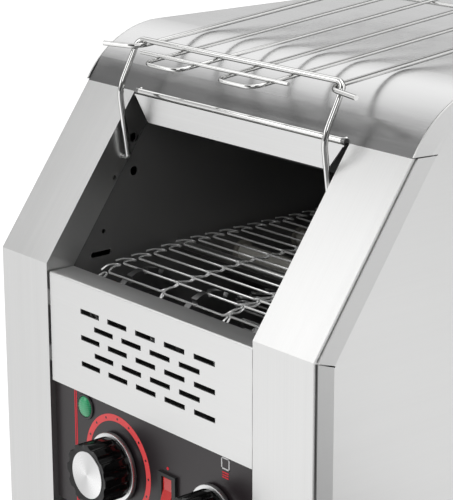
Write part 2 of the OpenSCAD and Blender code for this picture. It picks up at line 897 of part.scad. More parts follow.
// Toothed disc with a round seat for each wire or roller
module toothed_disc(x, t, y, z, r, teeth, seat_r, tip, bore, phase) {
  translate([x - t / 2, y, z]) rotate([90, 0, 90]) linear_extrude(t)
    difference() {
      circle(r + tip, $fn = 96);
      circle(d = bore);
      for (k = [0 : teeth - 1])
        rotate([0, 0, phase + k * 360 / teeth]) translate([r, 0]) {
          circle(seat_r, $fn = 24);
          translate([0, -seat_r]) square([2 * seat_r + tip, 2 * seat_r]);
        }
    }
}

module belt_sprockets(y, z, phase) {
  for (x = [-sprocket_x, 0, sprocket_x]) {
    toothed_disc(
      x, sprocket_t, y, z, belt_r, belt_teeth, wire_r + 0.8, wire_r + 0.4, shaft_d + 2 * run_fit, phase
    );
    difference() {
      bar_x(x - hub_t / 2, x + hub_t / 2, y, z, 2 * shaft_d);
      bar_x(x - hub_t, x + hub_t, y, z, shaft_d + 2 * run_fit);
    }
  }
}

module front_sprockets() {
  phase = row_angle(belt_pulleys, belt_start, belt_step, 2);
  color("silver") belt_sprockets(front_shaft_y, front_shaft_z, phase);
}

module rear_sprockets() {
  phase = row_angle(belt_pulleys, belt_start, belt_step, 1);
  color("silver") belt_sprockets(rear_shaft_y, rear_shaft_z, phase);
}

module front_shaft() {
  end = wall_out_x + bush_out + 3;
  color("silver")
    difference() {
      bar_x(-end, end, front_shaft_y, front_shaft_z, shaft_d);
      both_sides() ring_groove(end - 1.5, front_shaft_y, front_shaft_z);
    }
}

module rear_shaft() {
  end = wall_out_x + bush_out + 3;
  color("silver")
    difference() {
      bar_x(-end, chain_x + 6, rear_shaft_y, rear_shaft_z, shaft_d);
      ring_groove(1.5 - end, rear_shaft_y, rear_shaft_z);
      ring_groove(chain_x + 4.5, rear_shaft_y, rear_shaft_z);
    }
}

// Groove for a retaining ring
module ring_groove(x, y, z) {
  difference() {
    bar_x(x - 0.6, x + 0.6, y, z, shaft_d + 2);
    bar_x(x - 1, x + 1, y, z, shaft_d - 1);
  }
}

module shaft_bushes() {
  color("peru")
    both_sides()
      for (p = [belt_pulleys[0], belt_pulleys[2]])
        difference() {
          union() {
            bar_x(wall_in_x - 1, wall_out_x + bush_out, p.x, p.y, bush_d);
            bar_x(wall_out_x, wall_out_x + 2, p.x, p.y, bush_d + 8);
          }
          bar_x(wall_in_x - 2, wall_out_x + bush_out + 1, p.x, p.y, shaft_d + 2 * run_fit);
        }
}

module belt_rod() {
  color("silver") bar_x(-wall_in_x, wall_in_x, rod_y, rod_z, rod_d);
}

// --- Drive ---
module gear_motor() {
  x0 = wall_out_x;
  x1 = wall_out_x + motor_t;
  color(black)
    difference() {
      union() {
        bar_x(x0, x1, motor_y, motor_z, motor_d);
        bar_x(x0, x1 + 3, motor_y, motor_z, 18);
        for (s = [-1, 1])
          bar_x(x0, x0 + 2, motor_y, motor_z + s * (motor_d / 2 + 3), 14);
      }
      bar_x(x1 - 20, x1 + 4, motor_y, motor_z, motor_shaft_d + 2 * run_fit);
      for (s = [-1, 1]) bar_x(x0 - 1, x0 + 3, motor_y, motor_z + s * (motor_d / 2 + 4), 4.5);
    }
}

module motor_pinion() {
  color("silver") {
    toothed_disc(
      chain_x, wheel_t, motor_y, motor_z, pinion_r, pinion_teeth, chain_seat_r, tooth_tip, 1,
      row_angle(chain_pulleys, chain_start, chain_step, 1)
    );
    bar_x(wall_out_x + motor_t - 18, chain_x + wheel_t / 2, motor_y, motor_z, motor_shaft_d);
    bar_x(chain_x - 2.5, chain_x, motor_y, motor_z, 18);
  }
}

module shaft_wheel() {
  color("silver")
    difference() {
      union() {
        toothed_disc(
          chain_x, wheel_t, rear_shaft_y, rear_shaft_z, wheel_r, wheel_teeth, chain_seat_r,
          tooth_tip, shaft_d + 2 * run_fit, row_angle(chain_pulleys, chain_start, chain_step, 0)
        );
        bar_x(chain_x - 6, chain_x, rear_shaft_y, rear_shaft_z, 2 * shaft_d);
      }
      bar_x(chain_x - 7, chain_x + 7, rear_shaft_y, rear_shaft_z, shaft_d + 2 * run_fit);
      for (a = [45 : 90 : 315])
        translate([0, 19 * cos(a), 19 * sin(a)])
          bar_x(chain_x - 7, chain_x + 7, rear_shaft_y, rear_shaft_z, 9);
    }
}

// Roller with the two plates that reach to the next roller
module chain_link(k) {
  a = row_at(chain_pulleys, chain_start, chain_step, k);
  b = row_at(chain_pulleys, chain_start, chain_step, k + 1);
  out = wheel_t / 2 + (k % 2 == 0 ? 0.9 : 1.9);
  reach = [b.x - a.x, b.y - a.y];
  for (s = [-1, 1])
    translate([chain_x + s * out - plate_t / 2, a.x, a.y]) rotate([atan2(reach.y, reach.x), 0, 0]) {
      rotate([0, 90, 0]) cylinder(h = plate_t, d = chain_plate);
      translate([0, norm(reach), 0]) rotate([0, 90, 0]) cylinder(h = plate_t, d = chain_plate);
      translate([0, 0, -0.4 * chain_plate]) cube([plate_t, norm(reach), 0.8 * chain_plate]);
    }
  bar_x(chain_x - wheel_t / 2 - 2.8, chain_x + wheel_t / 2 + 2.8, a.x, a.y, chain_roller);
}

module drive_chain() {
  color("silver") for (k = [0 : chain_links - 1]) chain_link(k);
}

// --- Front ---
module vent_plate() {
  w = open_x - vent_gap;
  color(steel)
    difference() {
      union() {
        across(-w, w) {
          translate([vent_face, vent_bottom]) square([sheet, vent_h - bend_r]);
          translate([vent_face + bend_r, vent_top - sheet]) square([vent_flange - bend_r, sheet]);
          translate([vent_face + bend_r, vent_top - bend_r])
            intersection() {
              difference() {
                circle(bend_r, $fn = 24);
                circle(bend_r - sheet, $fn = 24);
              }
              translate([-bend_r, 0]) square(bend_r);
            }
          translate([vent_face, vent_bottom]) square([panel_back - vent_face, sheet]);
        }
        // Tabs that fasten the plate to the frames' returns
        both_sides()
          for (z = [vent_bottom + 12, vent_top - 22]) {
            block([w - 6, vent_face + sheet / 2, z], [open_x, vent_face + 2 * sheet, z + 10]);
            block([open_x - sheet, vent_face + sheet, z], [open_x, return_w - 4, z + 10]);
          }
      }
      for (row = [0 : vent_rows - 1]) {
        count = 5 - row % 2;
        top = fold_h - slot_drop - row * slot_pitch_z;
        for (i = [0 : count - 1]) {
          x = (i - (count - 1) / 2) * slot_pitch_x;
          block([x - slot_w / 2, 0, top - slot_h], [x + slot_w / 2, 2 * sheet + 1, top]);
        }
      }
    }
}

module control_panel() {
  color([0.16, 0.15, 0.16])
    difference() {
      union() {
        block([-open_x, panel_back, panel_bottom], [open_x, panel_in, panel_top + panel_lap]);
        block([-open_x, panel_back, panel_bottom], [open_x, return_w - 2, panel_bottom + panel_t]);
      }
      bar_y(panel_back - 1, panel_in + 1, -lamp_x, lamp_h, lamp_body_d + 2 * loose);
      for (x = [-speed_x, mode_x])
        bar_y(panel_back - 1, panel_in + 1, x, control_h, control_bush_d + 2 * loose);
      block(
        [rocker_x - switch_half_w - loose, panel_back - 1, control_h - switch_half_h - slip],
        [rocker_x + switch_half_w + loose, panel_in + 1, control_h + switch_half_h + slip]
      );
    }
}

module front_rail() {
  color(steel)
    across(-open_x, open_x) {
      translate([sheet, rail_top - rail_h]) square([sheet, rail_h]);
      translate([sheet, rail_top - sheet]) square([return_w - 6, sheet]);
    }
}

module pilot_bezel() {
  color(black)
    difference() {
      union() {
        bar_y(panel_back - lamp_rim, panel_back, -lamp_x, lamp_h, lamp_d + 5);
        bar_y(panel_back - 0.5, panel_back + 18, -lamp_x, lamp_h, lamp_body_d);
      }
      bar_y(panel_back - lamp_rim - 1, panel_back - 0.6, -lamp_x, lamp_h, lamp_d + 2 * slip);
    }
}

// Domed lens with upright ribs
module pilot_lens() {
  r = lamp_d / 2;
  color("green")
    difference() {
      translate([-lamp_x, panel_back - 0.6, lamp_h]) rotate([90, 0, 0])
        rotate_extrude() {
          square([r, 4]);
          translate([0, 4]) intersection() {
            translate([0, 3 - dome_r]) circle(dome_r);
            square([r, 4]);
          }
        }
      for (x = [-5 : 2 : 5])
        block([x - lamp_x - 0.4, -8, lamp_h - r], [x - lamp_x + 0.4, panel_back - 5, lamp_h + r]);
    }
}

// A control's body behind the panel, with its threaded bush and nut
module control_body(x, w, l) {
  difference() {
    union() {
      block([x - w / 2, panel_in + 2.5, control_h - w / 2], [x + w / 2, panel_in + l, control_h + w / 2]);
      bar_y(panel_in, panel_in + 3, x, control_h, control_bush_d + 5);
      bar_y(panel_back - nut_t, panel_in + 3, x, control_h, control_bush_d);
      translate([x, panel_back, control_h]) rotate([90, 0, 0]) cylinder(h = nut_t, d = 14, $fn = 6);
    }
    bar_y(panel_back - nut_t - 1, panel_in + l - 2, x, control_h, spindle_d + 2 * run_fit);
  }
}

module speed_controller() {
  color("tan") {
    control_body(-speed_x, speed_body_w, speed_body_l);
    for (z = [-10, 0, 10])
      bar_y(panel_in + speed_body_l - 1, panel_in + speed_body_l + 8, -speed_x, control_h + z, 2.5);
  }
}

module mode_switch() {
  color("tan") {
    control_body(mode_x, mode_body_w, mode_body_l);
    for (x = [-9, 9], z = [-9, 9])
      block(
        [mode_x + x - 2, panel_in + mode_body_l - 1, control_h + z - 0.4],
        [mode_x + x + 2, panel_in + mode_body_l + 6, control_h + z + 0.4]
      );
  }
}

// Spindle with a flat where the knob grips it
module spindle(x, l) {
  difference() {
    bar_y(spindle_tip, panel_in + l - 2 - slip, x, control_h, spindle_d);
    spindle_flat(x, 0);
  }
}

module spindle_flat(x, clear) {
  block(
    [x - spindle_d, spindle_tip - 1, control_h + spindle_d / 2 - 1 + clear],
    [x + spindle_d, knob_back - 1, control_h + spindle_d]
  );
}

module speed_spindle() {
  color("silver") spindle(-speed_x, speed_body_l);
}

module mode_spindle() {
  color("silver") spindle(mode_x, mode_body_l);
}

module knob_skirt(x, d) {
  r = d / 2;
  translate([x, knob_back + skirt_t, control_h]) rotate([90, 0, 0])
    rotate_extrude($fn = 72)
      polygon([[nut_room, 0], [r - 0.6, 0], [r, 0.6], [r - 1.4, skirt_t], [nut_room, skirt_t]]);
}

module speed_skirt() {
  color("silver") knob_skirt(-speed_x, speed_skirt_d);
}

module mode_skirt() {
  color("silver") knob_skirt(mode_x, mode_skirt_d);
}

// Fluted grip that widens a little towards its face, with a recess for the metal cap
module knob(x, d) {
  r = d / 2 - knob_in;
  l = knob_back - knob_face;
  difference() {
    translate([x, knob_back, control_h]) rotate([90, 0, 0])
      difference() {
        rotate_extrude($fn = 72)
          polygon([
            [0, 0], [r - 2, 0], [r - 2, 3], [r - 0.9, 3.8], [r, l - 2.5], [r - 0.6, l - 0.6],
            [r - 2, l], [r - cap_in, l], [r - cap_in, l - cap_seat], [0, l - cap_seat]
          ]);
        for (k = [0 : flutes - 1])
          rotate((k + 0.5) * 360 / flutes) translate([r + 2.1, 0, 2]) cylinder(h = l, r = 3.6, $fn = 32);
      }
    difference() {
      bar_y(spindle_tip, knob_back + 1, x, control_h, spindle_d + 2 * run_fit);
      spindle_flat(x, run_fit);
    }
  }
}

module speed_knob() {
  color(black) knob(-speed_x, speed_skirt_d);
}

module mode_knob() {
  color(black) knob(mode_x, mode_skirt_d);
}

module knob_cap(x, d) {
  r = d / 2 - knob_in - cap_in - slip / 3;
  h = cap_seat + 0.3;
  translate([x, knob_face + cap_seat, control_h]) rotate([90, 0, 0])
    rotate_extrude($fn = 72) polygon([[0, 0], [r, 0], [r, h - 0.5], [r - 0.6, h], [0, h]]);
}

module speed_cap() {
  color("silver") knob_cap(-speed_x, speed_skirt_d);
}

module mode_cap() {
  color("silver") knob_cap(mode_x, mode_skirt_d);
}

module rocker_bezel() {
  w = rocker_w / 2;
  h = rocker_h / 2;
  color(black)
    difference() {
      union() {
        block([rocker_x - w, panel_back - 2, control_h - h], [rocker_x + w, panel_back, control_h + h]);
        block(
          [rocker_x - switch_half_w, panel_back - 1, control_h - switch_half_h],
          [rocker_x + switch_half_w, panel_back + 20, control_h + switch_half_h]
        );
      }
      block(
        [rocker_x - rocker_half_w - loose, panel_back - 3, control_h - rocker_r - loose],
        [rocker_x + rocker_half_w + loose, rocker_y + 7, control_h + rocker_r + loose]
      );
      bar_x(rocker_x - w, rocker_x + w, rocker_y, control_h, rocker_pin_d + 2 * run_fit);
    }
}

// Paddle with two faces that meet in a shallow valley over the pivot
module rocker() {
  rise = rocker_r * tan(rocker_lean);
  color("red")
    translate([0, rocker_y, control_h]) rotate([-rocker_lean, 0, 0]) {
      across(rocker_x - rocker_half_w, rocker_x + rocker_half_w)
        intersection() {
          circle(rocker_r, $fn = 72);
          polygon([
            [-rocker_front, 0], [-rocker_front - rise, rocker_r], [3, rocker_r - 3], [4, 0],
            [3, 3 - rocker_r], [-rocker_front - rise, -rocker_r]
          ]);
        }
      bar_x(rocker_x - switch_half_w + slip, rocker_x + switch_half_w - slip, 0, 0, rocker_pin_d);
    }
}

// --- Toast path ---
// Curved sheet that brings the toast from the belt's rear end to the front
module toast_slide() {
  s = sin(slide_angle);
  c = cos(slide_angle);
  run = sqrt(slide_reach ^ 2 - slide_r ^ 2);
  far = 3 * slide_r;
  color(steel)
    across(-wall_in_x, wall_in_x) {
      translate([slide_front_y, slide_front_h]) rotate(slide_angle)
        translate([0, -sheet]) square([run + slip, sheet]);
      translate([slide_y, slide_z])
        intersection() {
          difference() {
            circle(slide_r + sheet, $fn = 96);
            circle(slide_r, $fn = 96);
          }
          polygon([[0, 0], [far * s, -far * c], [far, -far], [far, 0]]);
        }
      translate([slide_back_y, slide_z - slip]) square([sheet, slide_top - slide_z]);
    }
}

// Tray that catches the toast, with a rounded front lip and low sides
module toast_tray() {
  lip_r = 6;
  y = -tray_out;
  z = tray_floor;
  color(steel) {
    across(-tray_half, tray_half) {
      translate([y + lip_r, z]) square([tray_rear - y - lip_r, sheet]);
      translate([y, z + lip_r]) square([sheet, tray_lip - lip_r]);
      translate([y + lip_r, z + lip_r])
        intersection() {
          difference() {
            circle(lip_r);
            circle(lip_r - sheet);
          }
          translate([-lip_r, -lip_r]) square(lip_r);
        }
    }
    both_sides()
      across(tray_half - sheet, tray_half)
        intersection() {
          polygon([[y, z], [tray_rear, z], [tray_rear, z + 3], [2, z + 9], [y, z + tray_lip]]);
          union() {
            translate([y + lip_r, z + lip_r]) circle(lip_r);
            translate([y, z + lip_r]) square([tray_rear - y, tray_lip]);
            translate([y + lip_r, z]) square([tray_rear - y - lip_r, tray_lip]);
          }
        }
  }
}

// Tray on the base that collects crumbs, with a pull at the front
module crumb_tray() {
  w = open_x - 1;
  z = floor_z + slip;
  front_top = rail_top - rail_h - 1;
  color(steel)
    difference() {
      block([-w, 0, z], [w, crumb_l, z + crumb_h]);
      block([-w + sheet, sheet, z + sheet], [w - sheet, crumb_l - sheet, z + crumb_h + 1]);
    }
  color(steel) {
    block([-w, 0, z], [w, sheet, front_top]);
    block([-w / 2, -crumb_pull, front_top - sheet], [w / 2, sheet, front_top]);
    block([-w / 2, -crumb_pull, front_top - 4], [w / 2, sheet - crumb_pull, front_top]);
  }
}

// --- Rear ---
// Cooling fan's square frame, with its motor's seat on three spokes
module fan_frame() {
  color(black)
    difference() {
      union() {
        difference() {
          block([-fan_half, fan_front, fan_h - fan_half], [fan_half, rear_in, fan_h + fan_half]);
          bar_y(fan_front - 1, rear_in + 1, 0, fan_h, fan_d);
          for (p = fan_screws) bar_y(fan_front - 1, rear_in + 1, p.x, p.y, screw_d + 2 * loose);
        }
        bar_y(rear_in - 8, rear_in, 0, fan_h, 2 * fan_hub_r);
        for (a = [90, 210, 330])
          translate([0, 0, fan_h]) rotate([0, a, 0]) block([0, rear_in - 3, -2], [fan_d / 2 + 1, rear_in, 2]);
      }
      bar_y(rear_in - 9, rear_in - 2, 0, fan_h, fan_shaft_d + 2 * run_fit);
    }
}

// Fan blade: a curved strip drawn out along the radius and trimmed round
module fan_blade() {
  y = (fan_front + rear_in - 8) / 2;
  w = 0.6 * fan_t;
  intersection() {
    translate([0, y, 0]) linear_extrude(fan_d)
      rotate(-32) intersection() {
        translate([-w, 0]) difference() {
          circle(w + 0.7);
          circle(w - 0.7);
        }
        translate([-w / 2, -w / 2]) square(w);
      }
    bar_y(fan_front, rear_in, 0, 0, fan_d - 3);
  }
}

module fan_rotor() {
  color(black)
    translate([0, 0, fan_h]) {
      bar_y(fan_front + 1, rear_in - 8.5, 0, 0, 2 * fan_hub_r);
      bar_y(fan_front + 2, rear_in - 2 - slip, 0, 0, fan_shaft_d);
      for (k = [0 : blades - 1]) rotate([0, k * 360 / blades, 0]) fan_blade();
    }
}

module cord_gland() {
  color(black)
    translate([gland_x, 0, gland_z])
      difference() {
        union() {
          bar_y(rear_in - 6, rear_in, 0, 0, gland_d + 8);
          bar_y(rear_in - 6, body_d + 1, 0, 0, gland_d);
          bar_y(body_d, body_d + 4, 0, 0, gland_d + 6);
          translate([0, body_d + 4, 0]) rotate([-90, 0, 0])
            cylinder(h = gland_out - 4, d1 = gland_d + 2, d2 = gland_d - 4);
        }
        bar_y(rear_in - 7, body_d + gland_out + 1, 0, 0, 7.5);
      }
}

// --- Feed rack ---
// A point in the plane of the rack's wires, raised by some height
function rack_point(x, y, up = 0) = [x, y, plane_z + (y - bar_y) * tan(rack_tilt) + up];

// Bail: pins through the frames, legs with a knee, and a bar over the wires
module rack_bail() {
  side = [
    [leg_x + 2.4, pivot_y, pivot_z], [leg_x, pivot_y, pivot_z],
    [leg_x, pivot_y - knee_ahead, pivot_z + knee_up], [leg_x, bar_y, bar_z]
  ];
  path = softened([for (p = side) [-p.x, p.y, p.z], for (i = [3 : -1 : 0]) side[i]], 5);
  color("silver") {
    bent_wire(path, bail_d, [0, 1, 0], 10);
    both_sides() bar_x(leg_x + 2.2, wall_out_x + 5, pivot_y, pivot_z, bail_d);
  }
}

// Three pairs of wires, welded to two cross wires
module rack_wires() {
  rear = bar_y + rack_l;
  front = bar_y - loop_l;
  weld = 0.85 * rack_d;
  up = [0, -sin(rack_tilt), cos(rack_tilt)];
  cross_y = bar_y - 18;
  rear_y = rear - 6;
  color("silver") {
    both_sides() {
      // Side wire, which swings out into the ear
      bent_wire(softened([
        rack_point(wire_x3, rear), rack_point(wire_x3, bar_y), rack_point(wire_x3 + 4.5, bar_y - 5.5),
        rack_point(ear_x, pivot_y - 2)
      ], 6), rack_d, up);
      // Two wires that join in a loop at the front
      bent_wire(softened([
        rack_point(wire_x2, rear), rack_point(wire_x2, front), rack_point(wire_x1, front),
        rack_point(wire_x1, rear)
      ], corner_r, 5), rack_d, up);
    }
    bent_wire([rack_point(-cross_half, cross_y, weld), rack_point(cross_half, cross_y, weld)], rack_d, up);
    bent_wire([
      rack_point(-wire_x3 - 3, rear_y, -weld), rack_point(wire_x3 + 3, rear_y, -weld)
    ], rack_d, up);
  }
}

// --- Assembly ---
module place() {
  translate([0, -middle_y, 0]) children();
}

place() base_plate();
place() rear_panel();
place() top_cover();
place() header_plate();
place() side_frame_left();
place() side_frame_right();
place() side_cover_left();
place() side_cover_right();
place() inner_wall_left();
place() inner_wall_right();
place() vent_plate();
place() control_panel();
place() front_rail();
place() pilot_bezel();
place() pilot_lens();
place() speed_controller();
place() speed_spindle();
place() speed_knob();
place() speed_skirt();
place() speed_cap();
place() mode_switch();
place() mode_spindle();
place() mode_knob();
place() mode_skirt();
place() mode_cap();
place() rocker_bezel();
place() rocker();
place() wire_belt();
place() front_shaft();
place() front_sprockets();
place() rear_shaft();
place() rear_sprockets();
place() shaft_bushes();
place() belt_rod();
place() upper_reflector();
place() lower_reflector();
place() upper_heater_1();
place() upper_heater_2();
place() upper_heater_3();
place() lower_heater_1();
place() lower_heater_2();
place() heater_holders();
place() gear_motor();
place() motor_pinion();
place() shaft_wheel();
place() drive_chain();
place() toast_slide();
place() toast_tray();
place() crumb_tray();
place() fan_frame();
place() fan_rotor();
place() cord_gland();
place() foot_front_left();
place() foot_front_right();
place() foot_rear_left();
place() foot_rear_right();
place() cover_screws();
place() rack_bail();
place() rack_wires();
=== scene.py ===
import math

import bmesh
import bpy
from mathutils import Euler, Matrix, Vector


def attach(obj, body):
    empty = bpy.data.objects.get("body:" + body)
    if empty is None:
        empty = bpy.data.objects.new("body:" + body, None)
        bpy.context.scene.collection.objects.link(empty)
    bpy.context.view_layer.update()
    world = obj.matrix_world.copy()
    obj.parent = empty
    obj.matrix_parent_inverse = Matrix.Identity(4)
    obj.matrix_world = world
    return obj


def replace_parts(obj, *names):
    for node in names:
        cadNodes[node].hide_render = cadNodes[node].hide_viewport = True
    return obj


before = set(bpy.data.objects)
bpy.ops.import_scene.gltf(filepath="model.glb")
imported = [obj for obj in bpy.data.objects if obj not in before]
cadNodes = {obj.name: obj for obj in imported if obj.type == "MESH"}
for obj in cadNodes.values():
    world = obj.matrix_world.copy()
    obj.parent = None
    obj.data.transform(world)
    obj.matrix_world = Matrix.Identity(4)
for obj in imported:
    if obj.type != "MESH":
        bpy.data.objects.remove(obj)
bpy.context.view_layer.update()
print("frame loaded:", len(cadNodes), "CAD nodes")

frontY = 165.0  # the front frames' face stands this far before the middle, in mm


def mm(x, y, z):
    # millimetres, with y counted from the front frames' face
    return Vector((x / 1000, (y - frontY) / 1000, z / 1000))


cameraSetup = {
    "place": (0.82692, -0.79707, 0.58507),
    "turn": (73.9205, 0.1453, 49.9271),
    "lens": 137.2,
}
cameraData = bpy.data.cameras.new("camera")
camera = bpy.data.objects.new("camera", cameraData)
bpy.context.scene.collection.objects.link(camera)
camera.location = cameraSetup["place"]
camera.rotation_euler = Euler([math.radians(a) for a in cameraSetup["turn"]], "XYZ")
cameraData.sensor_fit = "AUTO"
cameraData.sensor_width = 36
cameraData.lens = cameraSetup["lens"]
cameraData.clip_start = 0.01
cameraData.clip_end = 200
bpy.context.scene.camera = camera
bpy.context.scene.view_settings.view_transform = "Standard"

lamps = {
    "keyLamp": {"place": (1.5, -1.7, 1.7), "aim": (0, 0, 0.25), "up": (0, 0, 1),
                "size": (1.4, 1.4), "power": 9},
    "slopeLamp": {"place": (-0.54, -0.775, 0.78), "aim": (0.22, -0.12, 0.26), "up": (0, 0.833, 0.553),
                  "size": (0.50, 0.57), "power": 1.22},
    "topLamp": {"place": (0.1, 0.2, 2.3), "aim": (0, 0, 0.3), "up": (0, 1, 0),
                "size": (1.8, 1.8), "power": 9},
    "rearLamp": {"place": (0.8, 2.0, 1.4), "aim": (0, 0, 0.25), "up": (0, 0, 1),
                 "size": (1.4, 1.4), "power": 5},
}
for lampName, given in lamps.items():
    lampData = bpy.data.lights.new(lampName, "AREA")
    lampData.shape = "RECTANGLE"
    lampData.size, lampData.size_y = given["size"]
    lampData.energy = given["power"]
    lamp = bpy.data.objects.new(lampName, lampData)
    bpy.context.scene.collection.objects.link(lamp)
    backward = (Vector(given["place"]) - Vector(given["aim"])).normalized()
    across = Vector(given["up"]).cross(backward).normalized()
    lamp.location = given["place"]
    lamp.rotation_euler = Matrix((across, backward.cross(across), backward)).transposed().to_euler()
print("camera and lamps placed")


class Wire:
    # a shader socket that can stand in a sum
    def __init__(self, tree, socket=None):
        self.tree = tree
        self.socket = socket

    def node(self, kind, settings=None, inputs=None, out=0):
        made = self.tree.nodes.new("ShaderNode" + kind)
        for key, value in (settings or {}).items():
            if key == "stops":
                ramp = made.color_ramp
                while len(ramp.elements) < len(value):
                    ramp.elements.new(0.5)
                for element, (position, color) in zip(ramp.elements, value):
                    element.position = position
                    element.color = color
            else:
                setattr(made, key, value)
        for key, value in (inputs or {}).items():
            if isinstance(value, Wire):
                self.tree.links.new(value.socket, made.inputs[key])
            else:
                made.inputs[key].default_value = value
        return Wire(self.tree, made.outputs[out])

    def math(self, operation, first, second=0.0):
        return self.node("Math", {"operation": operation}, {0: first, 1: second})

    def __add__(self, other):
        return self.math("ADD", self, other)

    __radd__ = __add__

    def __sub__(self, other):
        return self.math("SUBTRACT", self, other)

    def __rsub__(self, other):
        return self.math("SUBTRACT", other, self)

    def __mul__(self, other):
        return self.math("MULTIPLY", self, other)

    __rmul__ = __mul__

    def noise(self, scale, detail=3.0, rough=0.5):
        mapped = self.node("Mapping", None, {"Vector": self, "Scale": scale})
        return self.node("TexNoise", None, {"Vector": mapped, "Scale": 1.0, "Detail": detail,
                                            "Roughness": rough})

    def axis(self, index):
        return self.node("SeparateXYZ", None, {"Vector": self}, out=index)

    def ramp(self, stops):
        return self.node("ValToRGB", {"stops": stops}, {0: self})

    def times(self, other):
        return self.node("Mix", {"data_type": "RGBA", "blend_type": "MULTIPLY"},
                         {0: 1.0, 6: self, 7: other}, out=2)

    def tint(self, factor, low, high):
        return self.node("Mix", {"data_type": "RGBA"}, {0: factor, 6: low, 7: high}, out=2)

    def bump(self, height, strength, distance):
        return self.node("Bump", None, {"Height": height, "Strength": strength, "Distance": distance})


def grey(value):
    return (value, value, value, 1)


def shade(color, factor):
    return (min(color[0] * factor, 1), min(color[1] * factor, 1), min(color[2] * factor, 1), 1)


def finish(name, fixed, vary):
    # fixed: constants of the shader, vary: what changes over the surface, from Object coordinates
    material = bpy.data.materials.new(name)
    material.use_nodes = True
    shader = material.node_tree.nodes["Principled BSDF"]
    for key, value in fixed.items():
        shader.inputs[key].default_value = value
    place = Wire(material.node_tree).node("TexCoord", out=3)
    for key, wire in vary(place).items():
        material.node_tree.links.new(wire.socket, shader.inputs[key])
    return material


def brushed(name, grain, color, rough, streak=0.10, depth=0.12, metal=1.0, more=None):
    fine, long = 900, 9
    scales = {"X": (long, fine, fine), "Y": (fine, long, fine),
              "Z": (fine, long, long), "YZ": (fine, long, long)}

    def vary(place):
        hair = place.noise(scales[grain], 4.0, 0.6)
        band = place.noise([s * 0.22 for s in scales[grain]], 2.0)
        cloud = place.noise((7, 7, 7), 3.0)
        mix = hair * 0.5 + band * 0.25 + cloud * 0.25
        return {
            "Base Color": place.tint(mix, shade(color, 1 - streak), shade(color, 1 + streak)),
            "Roughness": rough - 0.10 + hair * 0.12 + cloud * 0.08,
            "Normal": place.bump(hair, depth, 0.0002),
        }

    return finish(name, {"Metallic": metal, **(more or {})}, vary)


def moulded(name, color, rough, grain=1500, depth=0.06, coat=0.0, spread=0.12, metal=0.0, more=None):
    def vary(place):
        pores = place.noise((grain, grain, grain), 3.0)
        cloud = place.noise((18, 18, 18), 3.0)
        return {
            "Base Color": place.tint(cloud, shade(color, 1 - spread), shade(color, 1 + spread)),
            "Roughness": rough - 0.05 + cloud * 0.10,
            "Normal": place.bump(pores, depth, 0.0001),
        }

    fixed = {"Metallic": metal, "Coat Weight": coat, "Coat Roughness": 0.08, **(more or {})}
    return finish(name, fixed, vary)


def coverFinish():
    # brushed across and a little wavy, with a painted dark reflection: a darker colour painted by height on
    # the bend over the mouth
    def vary(place):
        up = place.axis(2)
        hair = place.noise((9, 900, 900), 4.0, 0.6)
        cloud = place.noise((9, 42, 42), 4.0, 0.55)
        wave = place.noise((6, 16, 16), 2.0)
        # painted reflection: the base colour darkens low on the bend, standing in for a dark reflection there
        bend = (up * 25.0 - 8.86 + cloud * 0.5).ramp([
            (0.10, grey(0.13)), (0.42, grey(0.20)), (0.60, grey(0.44)), (0.74, grey(0.56)),
        ])
        return {
            "Base Color": place.tint(hair * 0.09, bend, grey(1.0)),
            "Roughness": 0.20 + hair * 0.06 + cloud * 0.06,
            "Normal": place.bump(hair * 0.04 + wave * 3.0, 0.35, 0.0006),
        }

    return finish("coverSteel", {"Metallic": 1.0}, vary)


def spunFinish(name, x, roughness):
    # turned on a lathe: fine rings round the knob's middle, with a slow painted highlight in two lobes round
    # them
    def vary(place):
        moved = place.node("Mapping", None, {"Vector": place, "Location": (-x / 1000, 0, -0.142)})
        across = moved.axis(0)
        up = moved.axis(2)
        radius = place.math("SQRT", across * across + up * up)
        angle = place.math("ARCTAN2", up, across)
        # painted highlight: two bright lobes in the base colour, by angle round the knob's axis
        paintedSheen = place.math("COSINE", angle * 2.0 + 0.9) * 0.5 + 0.5
        rings = place.node("CombineXYZ", None, {"X": radius * 2600.0}).noise((1, 1, 1), 2.0)
        return {
            "Base Color": place.tint(paintedSheen, grey(0.66), grey(0.90)),
            "Roughness": roughness + rings * 0.10 - paintedSheen * 0.05,
            "Normal": place.bump(rings, 0.25, 0.00006),
        }

    return finish(name, {"Metallic": 1.0}, vary)


def lensFinish():
    # green moulding, darkest at its two sides, which is painted shade from the rim round it; its level ribs
    # are painted highlights, light and dark bands in colour and glow, and bump on a smooth dome
    def vary(place):
        across = place.axis(0)
        up = place.axis(2)
        ribs = place.math("SINE", up * 5000.0) * 0.5 + 0.5
        # painted shade: the glow dims towards both sides, where the rim shades the lens
        glow = (across * 76.0 + 5.36).ramp([
            (0.0, (0.0, 0.03, 0.01, 1)), (0.35, (0.0, 0.19, 0.07, 1)), (0.60, (0.03, 0.26, 0.11, 1)),
            (1.0, (0.0, 0.06, 0.02, 1)),
        ])
        return {
            "Base Color": place.tint(ribs, (0.0, 0.08, 0.03, 1), (0.02, 0.26, 0.11, 1)),
            "Emission Color": place.tint(ribs * 0.55, glow, (0.0, 0.02, 0.01, 1)),
            "Normal": place.bump(ribs, 0.35, 0.0004),
        }

    fixed = {"Roughness": 0.16, "Coat Weight": 0.6, "IOR": 1.45, "Emission Strength": 1.0}
    return finish("lensGreen", fixed, vary)


